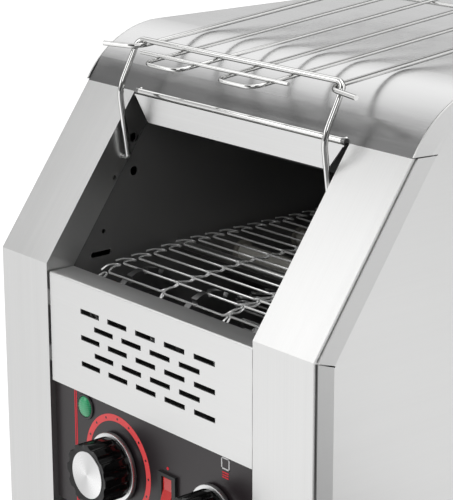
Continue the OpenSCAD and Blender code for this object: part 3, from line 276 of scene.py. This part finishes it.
steel = (0.74, 0.74, 0.735)
looks = {
    "frontSteel": brushed("frontSteel", "YZ", steel, 0.34),
    "sideSteel": brushed("sideSteel", "Y", (0.76, 0.76, 0.755), 0.36, 0.04, 0.08),
    "coverSteel": coverFinish(),
    "crossSteel": brushed("crossSteel", "X", steel, 0.30),
    "ventSteel": brushed("ventSteel", "X", (0.78, 0.78, 0.775), 0.38, 0.05, 0.06),
    "slideSteel": brushed("slideSteel", "Y", (0.70, 0.70, 0.695), 0.26),
    "chamberSteel": brushed("chamberSteel", "Y", (0.24, 0.24, 0.24), 0.46, 0.12, 0.15, 0.85),
    "wallSteel": brushed("wallSteel", "Z", (0.205, 0.203, 0.20), 0.48, 0.10, 0.12, 0.7),
    "brightWire": brushed("brightWire", "X", (0.86, 0.86, 0.85), 0.07, 0.05, 0.02,
                          more={"Specular Tint": grey(0.2)}),  # dark rims painted as an edge tint, standing in for the dark reflection that round polished wire shows
    "beltWire": brushed("beltWire", "X", (0.99, 0.99, 0.98), 0.2, 0.01, 0.03, 0.6),
    "driveSteel": brushed("driveSteel", "X", (0.56, 0.56, 0.55), 0.32),
    "sprocketSteel": brushed("sprocketSteel", "X", (0.22, 0.22, 0.22), 0.36),
    "bushBronze": moulded("bushBronze", (0.50, 0.33, 0.16), 0.4, metal=1.0),
    "panelBlack": moulded("panelBlack", (0.022, 0.016, 0.018), 0.34, 2200, 0.03, 0.0),
    "lampRim": moulded("lampRim", (0.02, 0.02, 0.02), 0.22),
    "knobBlack": moulded("knobBlack", (0.002, 0.002, 0.002), 0.10, 900, 0.01,
                         more={"Specular IOR Level": 0.28}),
    "speedSilver": spunFinish("speedSilver", -33.5, 0.26),
    "modeSilver": spunFinish("modeSilver", 60.0, 0.26),
    "switchBlack": moulded("switchBlack", (0.018, 0.018, 0.018), 0.42),
    "rockerRed": moulded("rockerRed", (0.62, 0.012, 0.010), 0.24, 900, 0.02, 0.5),
    "controlResin": moulded("controlResin", (0.24, 0.17, 0.10), 0.5),
    "heaterCeramic": moulded("heaterCeramic", (0.26, 0.24, 0.21), 0.7),
    "heaterTube": moulded("heaterTube", (0.62, 0.60, 0.55), 0.25, 600, 0.03, 0.3),
    "motorBlack": moulded("motorBlack", (0.030, 0.030, 0.033), 0.42, 700, 0.12),
    "footRubber": moulded("footRubber", (0.018, 0.018, 0.018), 0.75, 900, 0.2),
    "fanBlack": moulded("fanBlack", (0.020, 0.020, 0.021), 0.5),
    "printRose": moulded("printRose", (0.95, 0.085, 0.09), 0.5, spread=0.04),
    "printRed": moulded("printRed", (0.78, 0.012, 0.03), 0.5),
    "printWhite": moulded("printWhite", (0.75, 0.74, 0.74), 0.4),
    "lensGreen": lensFinish(),
}
nodeLooks = {
    "frontSteel": "side_frame_left side_frame_right",
    "sideSteel": "side_cover_left side_cover_right base_plate rear_panel",
    "coverSteel": "top_cover",
    "crossSteel": "header_plate front_rail",
    "ventSteel": "vent_plate",
    "slideSteel": "toast_slide toast_tray crumb_tray",
    "chamberSteel": "upper_reflector lower_reflector",
    "wallSteel": "inner_wall_left inner_wall_right",
    "brightWire": "wire_belt rack_bail rack_wires",
    "driveSteel": "front_shaft rear_shaft belt_rod motor_pinion shaft_wheel drive_chain speed_spindle "
                  "mode_spindle cover_screws",
    "sprocketSteel": "front_sprockets rear_sprockets",
    "bushBronze": "shaft_bushes",
    "panelBlack": "control_panel",
    "lampRim": "pilot_bezel",
    "lensGreen": "pilot_lens",
    "knobBlack": "speed_knob mode_knob",
    "speedSilver": "speed_skirt speed_cap",
    "modeSilver": "mode_skirt mode_cap",
    "switchBlack": "rocker_bezel cord_gland",
    "rockerRed": "rocker",
    "controlResin": "speed_controller mode_switch",
    "heaterCeramic": "heater_holders",
    "heaterTube": "upper_heater_1 upper_heater_2 upper_heater_3 lower_heater_1 lower_heater_2",
    "motorBlack": "gear_motor",
    "footRubber": "foot_front_left foot_front_right foot_rear_left foot_rear_right",
    "fanBlack": "fan_frame fan_rotor",
}
for lookName, names in nodeLooks.items():
    for nodeName in names.split():
        part = cadNodes[nodeName]
        part.data.materials.clear()
        part.data.materials.append(looks[lookName])
print("materials made:", len(looks))


turnShare = 1 / (2 * math.pi)  # an angle as a share of a full turn
world = bpy.data.worlds.new("studio")
bpy.context.scene.world = world
world.use_nodes = True
worldTree = world.node_tree
worldTree.nodes.clear()
air = Wire(worldTree)
rays = worldTree.nodes.new("ShaderNodeLightPath")
direction = air.node("TexCoord")
height = direction.axis(2)
rearward = direction.axis(1)
sky = height.ramp([
    (0.0, grey(0.24)), (0.10, grey(0.30)), (0.20, grey(0.60)), (0.28, grey(0.68)), (0.42, grey(0.75)),
    (0.52, grey(0.97)), (0.66, grey(0.97)), (0.9, grey(0.5)),
])
# a flag darkens the high sky in front, for the cover's bend
flagHigh = height.ramp([(0.24, grey(0.0)), (0.36, grey(1.0))])
flag = (rearward * 0.5 + 0.5).ramp([(0.30, grey(0.26)), (0.56, grey(1.0))])
sky = sky.times(air.tint(flagHigh, grey(1.0), flag))
# dark drapes round the studio, seen by glossy rays only, give bright wire and knobs dark edges
around = air.math("ARCTAN2", rearward, direction.axis(0)) * turnShare + 0.5
drape = around.ramp([
    (0.0, grey(1.0)), (0.20, grey(1.0)), (0.27, grey(0.12)), (0.48, grey(0.12)), (0.54, grey(1.0)),
    (0.59, grey(1.0)), (0.65, grey(0.12)), (0.80, grey(0.12)), (0.86, grey(1.0)),
])
drapeHigh = height.ramp([(0.80, grey(0.0)), (0.90, grey(1.0))])
sky = sky.times(air.tint(drapeHigh, drape, grey(1.0)))
# a low bright card for the side covers' margins, for glossy rays only
glare = around.ramp([(0.53, grey(0.0)), (0.56, grey(1.0)), (0.62, grey(1.0)), (0.65, grey(0.0))])
sky = air.tint(glare * (1 - flagHigh), sky, grey(0.70))
sky = air.node("VectorMath", {"operation": "SCALE"}, {0: sky, "Scale": 1.5})
shown = air.math("MAXIMUM", Wire(worldTree, rays.outputs["Is Camera Ray"]),
                 Wire(worldTree, rays.outputs["Is Transmission Ray"]))
inGloss = Wire(worldTree, rays.outputs["Is Glossy Ray"])
tone = air.tint(inGloss, (0.62, 0.63, 0.64, 1), sky)
tone = air.tint(shown, tone, (1, 1, 1, 1))
background = air.node("Background", None, {"Color": tone, "Strength": 1.0})
worldOut = worldTree.nodes.new("ShaderNodeOutputWorld")
worldTree.links.new(background.socket, worldOut.inputs["Surface"])

bpy.ops.object.select_all(action="DESELECT")
bpy.ops.mesh.primitive_plane_add(size=60, location=(0, 0, 0))
floor = bpy.context.object
floor.name = "floor"
floorLook = bpy.data.materials.new("floorPale")
floorLook.use_nodes = True
floorTree = floorLook.node_tree
floorTree.nodes.clear()
ground = Wire(floorTree)
paths = floorTree.nodes.new("ShaderNodeLightPath")
spot = ground.node("TexCoord", out=3)
speckle = spot.noise((30, 30, 30))
matte = ground.node("BsdfDiffuse", None, {"Color": ground.tint(speckle, grey(0.86), grey(0.88))})
# the tone that glossy rays see in the floor: by bearing, across the near floor and far to the east
eastward = spot.axis(0)
northward = spot.axis(1)
bearing = ground.math("ARCTAN2", northward, eastward) * turnShare + 0.5
nearTone = (eastward * 5.0 - northward * 5.955 - 0.3825).ramp([(0.0, grey(0.80)), (1.0, grey(1.0))])
aroundTone = bearing.ramp([
    (0.0, grey(0.10)), (0.05, grey(0.95)), (0.22, grey(1.0)), (0.30, grey(0.08)), (0.44, grey(0.08)),
    (0.53, grey(0.5)), (0.56, grey(0.98)), (0.68, grey(1.0)), (0.76, grey(0.06)), (1.0, grey(0.06)),
])
eastTone = (eastward * 0.1).ramp([
    (0.17, grey(1.0)), (0.21, grey(0.30)), (0.36, grey(0.30)), (0.5, grey(1.0)),
])
mirrorTone = aroundTone.times(nearTone).times(eastTone)
inView = Wire(floorTree, paths.outputs["Is Camera Ray"])
glow = ground.node("Emission", None, {"Color": ground.tint(inView, mirrorTone, grey(1.0)), "Strength": 1.2})
seen = ground.math("MAXIMUM", inView, Wire(floorTree, paths.outputs["Is Glossy Ray"]))
both = ground.node("MixShader", None, {0: seen * 0.88, 1: matte, 2: glow})
floorOut = floorTree.nodes.new("ShaderNodeOutputMaterial")
floorTree.links.new(both.socket, floorOut.inputs["Surface"])
floor.data.materials.append(floorLook)
print("floor and world made")


def pieceFromActive(name, look, body, smoothAngle=40):
    piece = bpy.context.object
    piece.name = name
    piece.data.name = name
    piece.data.materials.clear()
    piece.data.materials.append(looks[look])
    bpy.ops.object.transform_apply(location=True, rotation=True, scale=True)
    bpy.ops.object.shade_smooth_by_angle(angle=math.radians(smoothAngle))
    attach(piece, body)
    return piece


def softened(points, radius, steps=5):
    # a polyline with its corners rounded
    soft = [points[0]]
    for before, corner, after in zip(points, points[1:], points[2:]):
        inward, onward = before - corner, after - corner
        reach = min(radius, inward.length / 2, onward.length / 2)
        start, end = corner + inward.normalized() * reach, corner + onward.normalized() * reach
        for i in range(steps + 1):
            t = i / steps
            soft.append(start * (1 - t) ** 2 + corner * 2 * t * (1 - t) + end * t ** 2)
    soft.append(points[-1])
    return soft


def drawnWire(name, runs, radius, look, body, rings=2):
    curve = bpy.data.curves.new(name, "CURVE")
    curve.dimensions = "3D"
    curve.bevel_depth = radius
    curve.bevel_resolution = rings
    curve.use_fill_caps = True
    for run, thickness in runs:
        spline = curve.splines.new("POLY")
        spline.points.add(len(run) - 1)
        for point, target in zip(run, spline.points):
            target.co = (*point, 1)
            target.radius = thickness
    piece = bpy.data.objects.new(name, curve)
    bpy.context.scene.collection.objects.link(piece)
    bpy.ops.object.select_all(action="DESELECT")
    piece.select_set(True)
    bpy.context.view_layer.objects.active = piece
    bpy.ops.object.convert(target="MESH")
    return pieceFromActive(name, look, body, 60)


def extruded(name, loops):
    # flat outlines, each with the way it is drawn out
    bpy.ops.object.select_all(action="DESELECT")
    mesh = bpy.data.meshes.new(name)
    piece = bpy.data.objects.new(name, mesh)
    bpy.context.scene.collection.objects.link(piece)
    piece.select_set(True)
    bpy.context.view_layer.objects.active = piece
    builder = bmesh.new()
    for points, reach in loops:
        flat = builder.faces.new([builder.verts.new(point) for point in points])
        grown = bmesh.ops.extrude_face_region(builder, geom=[flat])
        moved = [v for v in grown["geom"] if isinstance(v, bmesh.types.BMVert)]
        bmesh.ops.translate(builder, verts=moved, vec=reach)
    bmesh.ops.recalc_face_normals(builder, faces=builder.faces)
    builder.to_mesh(mesh)
    builder.free()


panelPrint = {
    "face": 4.0,
    "sunk": 0.05,  # how far the print reaches into the panel
    "ground": 0.12,  # how proud the ring and the lines stand
    "marks": 0.2,  # how proud the dots and signs stand
    "ringMiddle": (-32.4, 142.4),
    "ringOuter": 32.2,
    "ringInner": 27.9,
    "ringFrom": 228,
    "ringTo": -48,
    "ringSteps": 72,
    "dotRadius": 30.0,
    "dotSize": 0.75,
    "dotFirst": 222,
    "dotStep": 22.1,
    "dots": 13,
    "lines": [(-75.8, -74.9), (-74.2, -73.3)],
    "lineHeights": (103.5, 181.5),
    "slice": {"x": 68.4, "z": 175.4, "half": 3.6, "band": 0.8},
    "heatHalf": 2.8,
    "heatBar": 0.7,
    "heatHeights": (169.6, 168.1, 166.6),
    "powerDot": (16.2, 156.0, 1.0),
    "modeDot": (33.2, 143.4, 1.6),
}


def printedShape(name, outlines, look, proud):
    # flat printed shapes on the panel: an outline's points are across and up
    reach = (0, (proud + panelPrint["sunk"]) / 1000, 0)
    front = panelPrint["face"] - proud
    extruded(name, [([mm(x, front, z) for x, z in outline], reach) for outline in outlines])
    pieceFromActive(name, look, "body", 30)


def arcPoint(angle, radius):
    a = math.radians(angle)
    x, z = panelPrint["ringMiddle"]
    return (x + radius * math.cos(a), z + radius * math.sin(a))


def rectangle(x0, z0, x1, z1):
    return [(x0, z0), (x1, z0), (x1, z1), (x0, z1)]


def disc(x, z, radius, sides=12):
    return [(x + radius * math.cos(2 * math.pi * i / sides), z + radius * math.sin(2 * math.pi * i / sides))
            for i in range(sides)]


def printPanel(shape):
    ring = [shape["ringFrom"] + (shape["ringTo"] - shape["ringFrom"]) * i / shape["ringSteps"]
            for i in range(shape["ringSteps"] + 1)]
    outer = [arcPoint(a, shape["ringOuter"]) for a in ring]
    inner = [arcPoint(a, shape["ringInner"]) for a in reversed(ring)]
    printedShape("speedScale", [outer + inner], "printRose", shape["ground"])
    low, high = shape["lineHeights"]
    printedShape("panelLine", [rectangle(x0, low, x1, high) for x0, x1 in shape["lines"]], "printRed",
                 shape["ground"])
    dots = [disc(*arcPoint(shape["dotFirst"] - i * shape["dotStep"], shape["dotRadius"]), shape["dotSize"])
            for i in range(shape["dots"])]
    printedShape("scaleDots", dots, "panelBlack", shape["marks"])
    x, z, half, band = (shape["slice"][key] for key in ("x", "z", "half", "band"))
    printedShape("toastMark", [
        rectangle(x - half, z + half - band, x + half, z + half),
        rectangle(x - half, z - half, x + half, z - half + band),
        rectangle(x - half, z - half, x - half + band, z + half),
        rectangle(x + half - band, z - half, x + half, z + half),
    ], "printWhite", shape["marks"])
    heat = [rectangle(x - shape["heatHalf"], z, x + shape["heatHalf"], z + shape["heatBar"])
            for z in shape["heatHeights"]]
    printedShape("heatMark", heat, "printRed", shape["marks"])
    printedShape("powerMark", [disc(*shape["powerDot"], 16)], "printRed", shape["marks"])
    printedShape("modeMark", [disc(*shape["modeDot"], 16)], "printRed", shape["marks"])


printPanel(panelPrint)
print("panel print made")


belt = {
    "pulleys": [(49.0, 226.8178, 23.1822), (104.0, 249.6, 4.4), (296.0, 230.8178, 23.1822)],
    "teeth": 12,
    "edge": 89.0,
    "joints": (-30.0, 30.0),
    "wire": 0.68,
}


def sideAngle(p, i):
    a, b = p[i], p[(i + 1) % len(p)]
    dy, dz = b[0] - a[0], b[1] - a[1]
    return math.degrees(math.atan2(dz, dy)) + 90 - math.degrees(math.asin((a[2] - b[2]) / math.hypot(dy, dz)))


def lineLength(p, i):
    a, b = p[i], p[(i + 1) % len(p)]
    return math.sqrt((b[0] - a[0]) ** 2 + (b[1] - a[1]) ** 2 - (a[2] - b[2]) ** 2)


def arcLength(p, i):
    turn = (sideAngle(p, i) - sideAngle(p, (i + 1) % len(p)) + 720) % 360
    return p[(i + 1) % len(p)][2] * math.radians(turn)


def pathPlace(p, s):
    # point of the belt's middle line and its outward side, at length s
    s %= sum(lineLength(p, i) + arcLength(p, i) for i in range(len(p)))
    for i in range(len(p)):
        straight, arc = lineLength(p, i), arcLength(p, i)
        a = math.radians(sideAngle(p, i))
        if s < straight:
            y, z, r = p[i]
            return (y + r * math.cos(a) + s * math.sin(a), z + r * math.sin(a) - s * math.cos(a), a)
        if s < straight + arc:
            y, z, r = p[(i + 1) % len(p)]
            b = a - (s - straight) / r
            return (y + r * math.cos(b), z + r * math.sin(b), b)
        s -= straight + arc
    return pathPlace(p, 0)


pulleys = belt["pulleys"]
beltLength = sum(lineLength(pulleys, i) + arcLength(pulleys, i) for i in range(3))
beltRows = round(beltLength / (2 * math.pi * pulleys[0][2] / belt["teeth"]))
beltStep = beltLength / beltRows
beltStart = beltLength - arcLength(pulleys, 2) / 2


def beltPoint(x, row, lift=0.0):
    y, z, a = pathPlace(pulleys, beltStart + row * beltStep)
    return mm(x, y + lift * math.cos(a), z + lift * math.sin(a))


def beltRuns():
    left, right = belt["joints"]
    edge = belt["edge"]
    runs = []
    for k in range(beltRows):
        # the row's three stretches, each with its hooks round the row ahead: across, row, lift
        pieces = [
            [(-edge, k - 0.02, 0.4), (-edge, k + 0.45, 0.1), (-edge + 0.4, k + 1.04, -2.0),
             (-edge + 4.6, k + 1.04, -2.0), (-edge + 5.0, k + 0.45, 0.0), (-edge + 6.6, k, 0.0),
             (left, k + 0.02, 0.0), (left + 0.3, k + 0.25, -0.6), (left + 0.2, k + 0.6, -2.8),
             (left, k + 1.0, -2.2), (left, k + 1.12, -1.0)],
            [(left + 2.2, k + 1.11, -1.0), (left + 2.0, k + 0.9, -2.2), (left + 1.6, k + 0.4, -0.6),
             (left + 3.0, k - 0.08, 0.4), (right, k - 0.08, 0.4), (right + 1.2, k + 0.35, 0.0),
             (right + 0.4, k + 0.8, -1.4), (right, k + 1.0, -2.2), (right, k + 1.11, -1.0)],
            [(right + 2.4, k + 1.12, -1.0), (right + 2.4, k + 1.0, -2.2), (right + 2.4, k + 0.6, -2.8),
             (right + 2.2, k + 0.25, -0.6), (right + 2.6, k + 0.02, 0.0), (edge - 6.6, k, 0.0),
             (edge - 5.0, k + 0.45, 0.0), (edge - 4.6, k + 1.04, -2.0), (edge - 0.4, k + 1.04, -2.0),
             (edge, k + 0.45, 0.1), (edge, k - 0.02, 0.4)],
        ]
        for p in pieces:
            runs.append((softened([beltPoint(x, row, lift) for x, row, lift in p], 0.0022, 3), 1.0))
    return runs


beltPiece = drawnWire("beltWires", beltRuns(), belt["wire"] / 1000, "beltWire", "body", 1)
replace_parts(beltPiece, "wire_belt")
print("belt made:", beltRows, "rows,", len(beltPiece.data.polygons), "faces")

rack = {
    "pivot": (60.4, 313.8),
    "knee": (54.4, 357.8),
    "bar": (69.8, 386.9),
    "legX": 91.5,
    "pinLong": 5.6,
    "bailWire": 1.8,
    "wire": 1.2,
    "sideWider": 1.25,
    "tilt": 5.5,
    "plane": 383.9,
    "rear": 255.8,
    "front": 39.8,
    "wiresX": (17.0, 49.0, 85.0),
    "earX": 112.0,
    "crossHalf": 65.7,
}


def rackPoint(x, y, up=0.0):
    return mm(x, y, rack["plane"] + (y - rack["bar"][0]) * math.tan(math.radians(rack["tilt"])) + up)


legX = rack["legX"]
pin = mm(-legX - rack["pinLong"], *rack["pivot"])
pivot, knee, bar = (mm(-legX, *rack[key]) for key in ("pivot", "knee", "bar"))
farBar = mm(legX, *rack["bar"])
bailPath = (softened([pin, pivot, knee], 0.0045)[:-1]
            + softened([pivot.lerp(knee, 0.5), knee, knee.lerp(bar, 0.5)], 0.014, 8)[1:]
            + softened([bar.lerp(knee, 0.4), bar, bar.lerp(farBar, 0.3)], 0.009, 8)[1:])
bailPath = bailPath + [Vector((-p.x, p.y, p.z)) for p in reversed(bailPath)]
bailPiece = drawnWire("rackBailWire", [(bailPath, 1.0)], rack["bailWire"] / 1000, "brightWire",
                      "rack", 4)
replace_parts(bailPiece, "rack_bail")

inner, outer, side = rack["wiresX"]
rackRuns = []
barY = rack["bar"][0]
for hand in (-1, 1):
    sideRun = [rackPoint(hand * side, rack["rear"]), rackPoint(hand * side, barY + 6),
               rackPoint(hand * side, barY - 1), rackPoint(hand * (side + 5), barY - 7),
               rackPoint(hand * rack["earX"], rack["pivot"][0] - 2)]
    loopRun = [rackPoint(hand * outer, rack["rear"]), rackPoint(hand * outer, rack["front"]),
               rackPoint(hand * inner, rack["front"]), rackPoint(hand * inner, rack["rear"])]
    rackRuns.append((softened(sideRun, 0.005), rack["sideWider"]))
    rackRuns.append((softened(loopRun, 0.009, 8), 1.0))
weld = 0.85 * 2 * rack["wire"]  # crossing wires are pressed a little into each other
cross = barY - 18
half = rack["crossHalf"]
rackRuns.append(([rackPoint(-half, cross, weld), rackPoint(half, cross, weld)], 1.0))
rearCross = rack["rear"] - 6
rackRuns.append(([rackPoint(-side - 3, rearCross, -weld), rackPoint(side + 3, rearCross, -weld)], 1.0))
rackPiece = drawnWire("rackWires", rackRuns, rack["wire"] / 1000, "brightWire", "rack", 3)
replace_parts(rackPiece, "rack_wires")
print("rack made")


hem = {"y": 69.4, "z": 354.4, "half": 91.5, "radius": 1.86}
hemPath = [mm(-hem["half"], hem["y"] + 2.5, hem["z"] + 0.4), mm(-hem["half"], hem["y"], hem["z"]),
           mm(hem["half"], hem["y"], hem["z"]), mm(hem["half"], hem["y"] + 2.5, hem["z"] + 0.4)]
drawnWire("hemRoll", [(softened(hemPath, 0.002, 4), 1.0)], hem["radius"] / 1000, "brightWire",
          "body", 5)
print("hem made")

# the side covers' corners, where the leaning margin runs into the one round the bend
gusset = {"outline": [(81.1, 354.3), (87.5, 354.3), (95.5, 366.0), (93.2, 366.0),
                      (88.2, 362.0), (84.3, 358.0)],
          "from": 146.2, "to": 146.97}
extruded("coverGussets", [
    ([mm(hand * gusset["from"], y, z) for y, z in gusset["outline"]],
     (hand * (gusset["to"] - gusset["from"]) / 1000, 0, 0))
    for hand in (-1, 1)])
pieceFromActive("coverGussets", "sideSteel", "body", 30)
print("cover corners made")

lens = {"x": -64.0, "z": 171.4, "radius": 6.5, "back": 3.6, "bulge": 0.42}
lampRing = {"major": 7.3, "minor": 0.95, "face": 3.7, "barrel": 6.4, "barrelMiddle": 13.2, "barrelLong": 18}
bpy.ops.object.select_all(action="DESELECT")
bpy.ops.mesh.primitive_uv_sphere_add(segments=48, ring_count=24, radius=lens["radius"] / 1000,
                                     location=mm(lens["x"], lens["back"], lens["z"]),
                                     scale=(1, lens["bulge"], 1))
bpy.ops.object.transform_apply(location=True, rotation=True, scale=True)
bpy.ops.object.mode_set(mode="EDIT")
bpy.ops.mesh.select_all(action="SELECT")
bpy.ops.mesh.bisect(plane_co=mm(lens["x"], lens["back"], lens["z"]), plane_no=(0, 1, 0), use_fill=True,
                    clear_outer=True)
bpy.ops.object.mode_set(mode="OBJECT")
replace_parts(pieceFromActive("lampLens", "lensGreen", "body", 50), "pilot_lens")
bpy.ops.object.select_all(action="DESELECT")
bpy.ops.mesh.primitive_torus_add(major_segments=48, minor_segments=12, major_radius=lampRing["major"] / 1000,
                                 minor_radius=lampRing["minor"] / 1000, rotation=(math.radians(90), 0, 0),
                                 location=mm(lens["x"], lampRing["face"], lens["z"]))
rim = bpy.context.object
bpy.ops.mesh.primitive_cylinder_add(vertices=48, radius=lampRing["barrel"] / 1000,
                                    depth=lampRing["barrelLong"] / 1000, rotation=(math.radians(90), 0, 0),
                                    location=mm(lens["x"], lampRing["barrelMiddle"], lens["z"]))
rim.select_set(True)
bpy.context.view_layer.objects.active = rim
bpy.ops.object.join()
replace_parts(pieceFromActive("lampRing", "lampRim", "body", 45), "pilot_bezel")
print("lamp made")

knobs = {
    "speedGrip": {"x": -33.5, "radius": 19.2, "flutes": 12, "plate": 21.5, "metal": "speedSilver",
                  "node": "speed_knob", "body": "speed_knob"},
    "modeGrip": {"x": 60.0, "radius": 16.2, "flutes": 12, "plate": 18.5, "metal": "modeSilver",
                 "node": "mode_knob", "body": "mode_knob"},
}
knobShape = {"back": 1.3, "face": -19.0, "height": 142.0,
             "fluteRadius": 3.6, "fluteOut": 2.1, "fluteStart": -0.7,
             "capRim": 4.3, "capDeep": 1.0, "edge": 0.7}
knobMetal = {"plateFront": -0.6, "plateBack": 2.6, "plateEdge": 0.5,
             "faceFront": -18.6, "faceBack": -16.6, "faceEdge": 0.4, "faceRim": 4.5}


def pickFaces(piece, test):
    bpy.ops.object.mode_set(mode="EDIT")
    bpy.ops.mesh.select_mode(type="FACE")
    bpy.ops.mesh.select_all(action="DESELECT")
    bpy.ops.object.mode_set(mode="OBJECT")
    for face in piece.data.polygons:
        face.select = test(face)
    bpy.ops.object.mode_set(mode="EDIT")


def knobGrip(name, radius, x, flutes, node, body):
    shape = knobShape
    long = shape["back"] - shape["face"]
    bpy.ops.object.select_all(action="DESELECT")
    middle = mm(x, (shape["back"] + shape["face"]) / 2, shape["height"])
    bpy.ops.mesh.primitive_cylinder_add(vertices=96, radius=radius / 1000, depth=long / 1000, location=middle,
                                        rotation=(math.radians(90), 0, 0))
    grip = bpy.context.object
    bpy.ops.object.transform_apply(location=True, rotation=True, scale=True)
    pickFaces(grip, lambda face: face.normal.y < -0.9)
    bpy.ops.mesh.inset(thickness=shape["capRim"] / 1000)
    bpy.ops.transform.translate(value=(0, shape["capDeep"] / 1000, 0))
    bpy.ops.object.mode_set(mode="OBJECT")
    cutters = []
    for i in range(flutes):
        turn = 2 * math.pi * (i + 0.5) / flutes
        reach = radius + shape["fluteOut"]
        bpy.ops.object.select_all(action="DESELECT")
        start, stop = shape["fluteStart"], shape["face"] - 2
        bpy.ops.mesh.primitive_cylinder_add(
            vertices=32, radius=shape["fluteRadius"] / 1000, depth=(start - stop) / 1000,
            location=mm(x + reach * math.cos(turn), (start + stop) / 2,
                        shape["height"] + reach * math.sin(turn)),
            rotation=(math.radians(90), 0, 0))
        cutters.append(bpy.context.object)
    bpy.ops.object.select_all(action="DESELECT")
    for cutter in cutters:
        cutter.select_set(True)
    bpy.context.view_layer.objects.active = cutters[0]
    bpy.ops.object.join()
    cutter = bpy.context.object
    bpy.ops.object.transform_apply(location=True, rotation=True, scale=True)
    bpy.ops.object.select_all(action="DESELECT")
    grip.select_set(True)
    bpy.context.view_layer.objects.active = grip
    cut = grip.modifiers.new("flutes", "BOOLEAN")
    cut.operation = "DIFFERENCE"
    cut.solver = "EXACT"
    cut.object = cutter
    bpy.ops.object.modifier_apply(modifier=cut.name)
    bpy.data.objects.remove(cutter)
    soft = grip.modifiers.new("edges", "BEVEL")
    soft.width = shape["edge"] / 1000
    soft.segments = 3
    soft.limit_method = "ANGLE"
    soft.angle_limit = math.radians(38)
    bpy.ops.object.modifier_apply(modifier=soft.name)
    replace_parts(pieceFromActive(name, "knobBlack", body, 45), node)


def spunDisc(name, x, radius, front, back, edge, look, node, body):
    # a turned plate on the knob's axis, with a softened front edge
    bpy.ops.object.select_all(action="DESELECT")
    bpy.ops.mesh.primitive_cylinder_add(
        vertices=96, radius=radius / 1000, depth=(back - front) / 1000,
        location=mm(x, (back + front) / 2, knobShape["height"]), rotation=(math.radians(90), 0, 0))
    plate = bpy.context.object
    bpy.ops.object.transform_apply(location=True, rotation=True, scale=True)
    soft = plate.modifiers.new("edges", "BEVEL")
    soft.width = edge / 1000
    soft.segments = 3
    soft.limit_method = "ANGLE"
    bpy.ops.object.modifier_apply(modifier=soft.name)
    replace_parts(pieceFromActive(name, look, body, 45), node)


for name, given in knobs.items():
    knobGrip(name, given["radius"], given["x"], given["flutes"], given["node"], given["body"])
    label, node = name.replace("Grip", ""), given["node"].replace("knob", "")
    spunDisc(label + "Plate", given["x"], given["plate"], knobMetal["plateFront"], knobMetal["plateBack"],
             knobMetal["plateEdge"], given["metal"], node + "skirt", given["body"])
    spunDisc(label + "Face", given["x"], given["radius"] - knobMetal["faceRim"], knobMetal["faceFront"],
             knobMetal["faceBack"], knobMetal["faceEdge"], given["metal"], node + "cap", given["body"])
print("knobs made")

print("done")
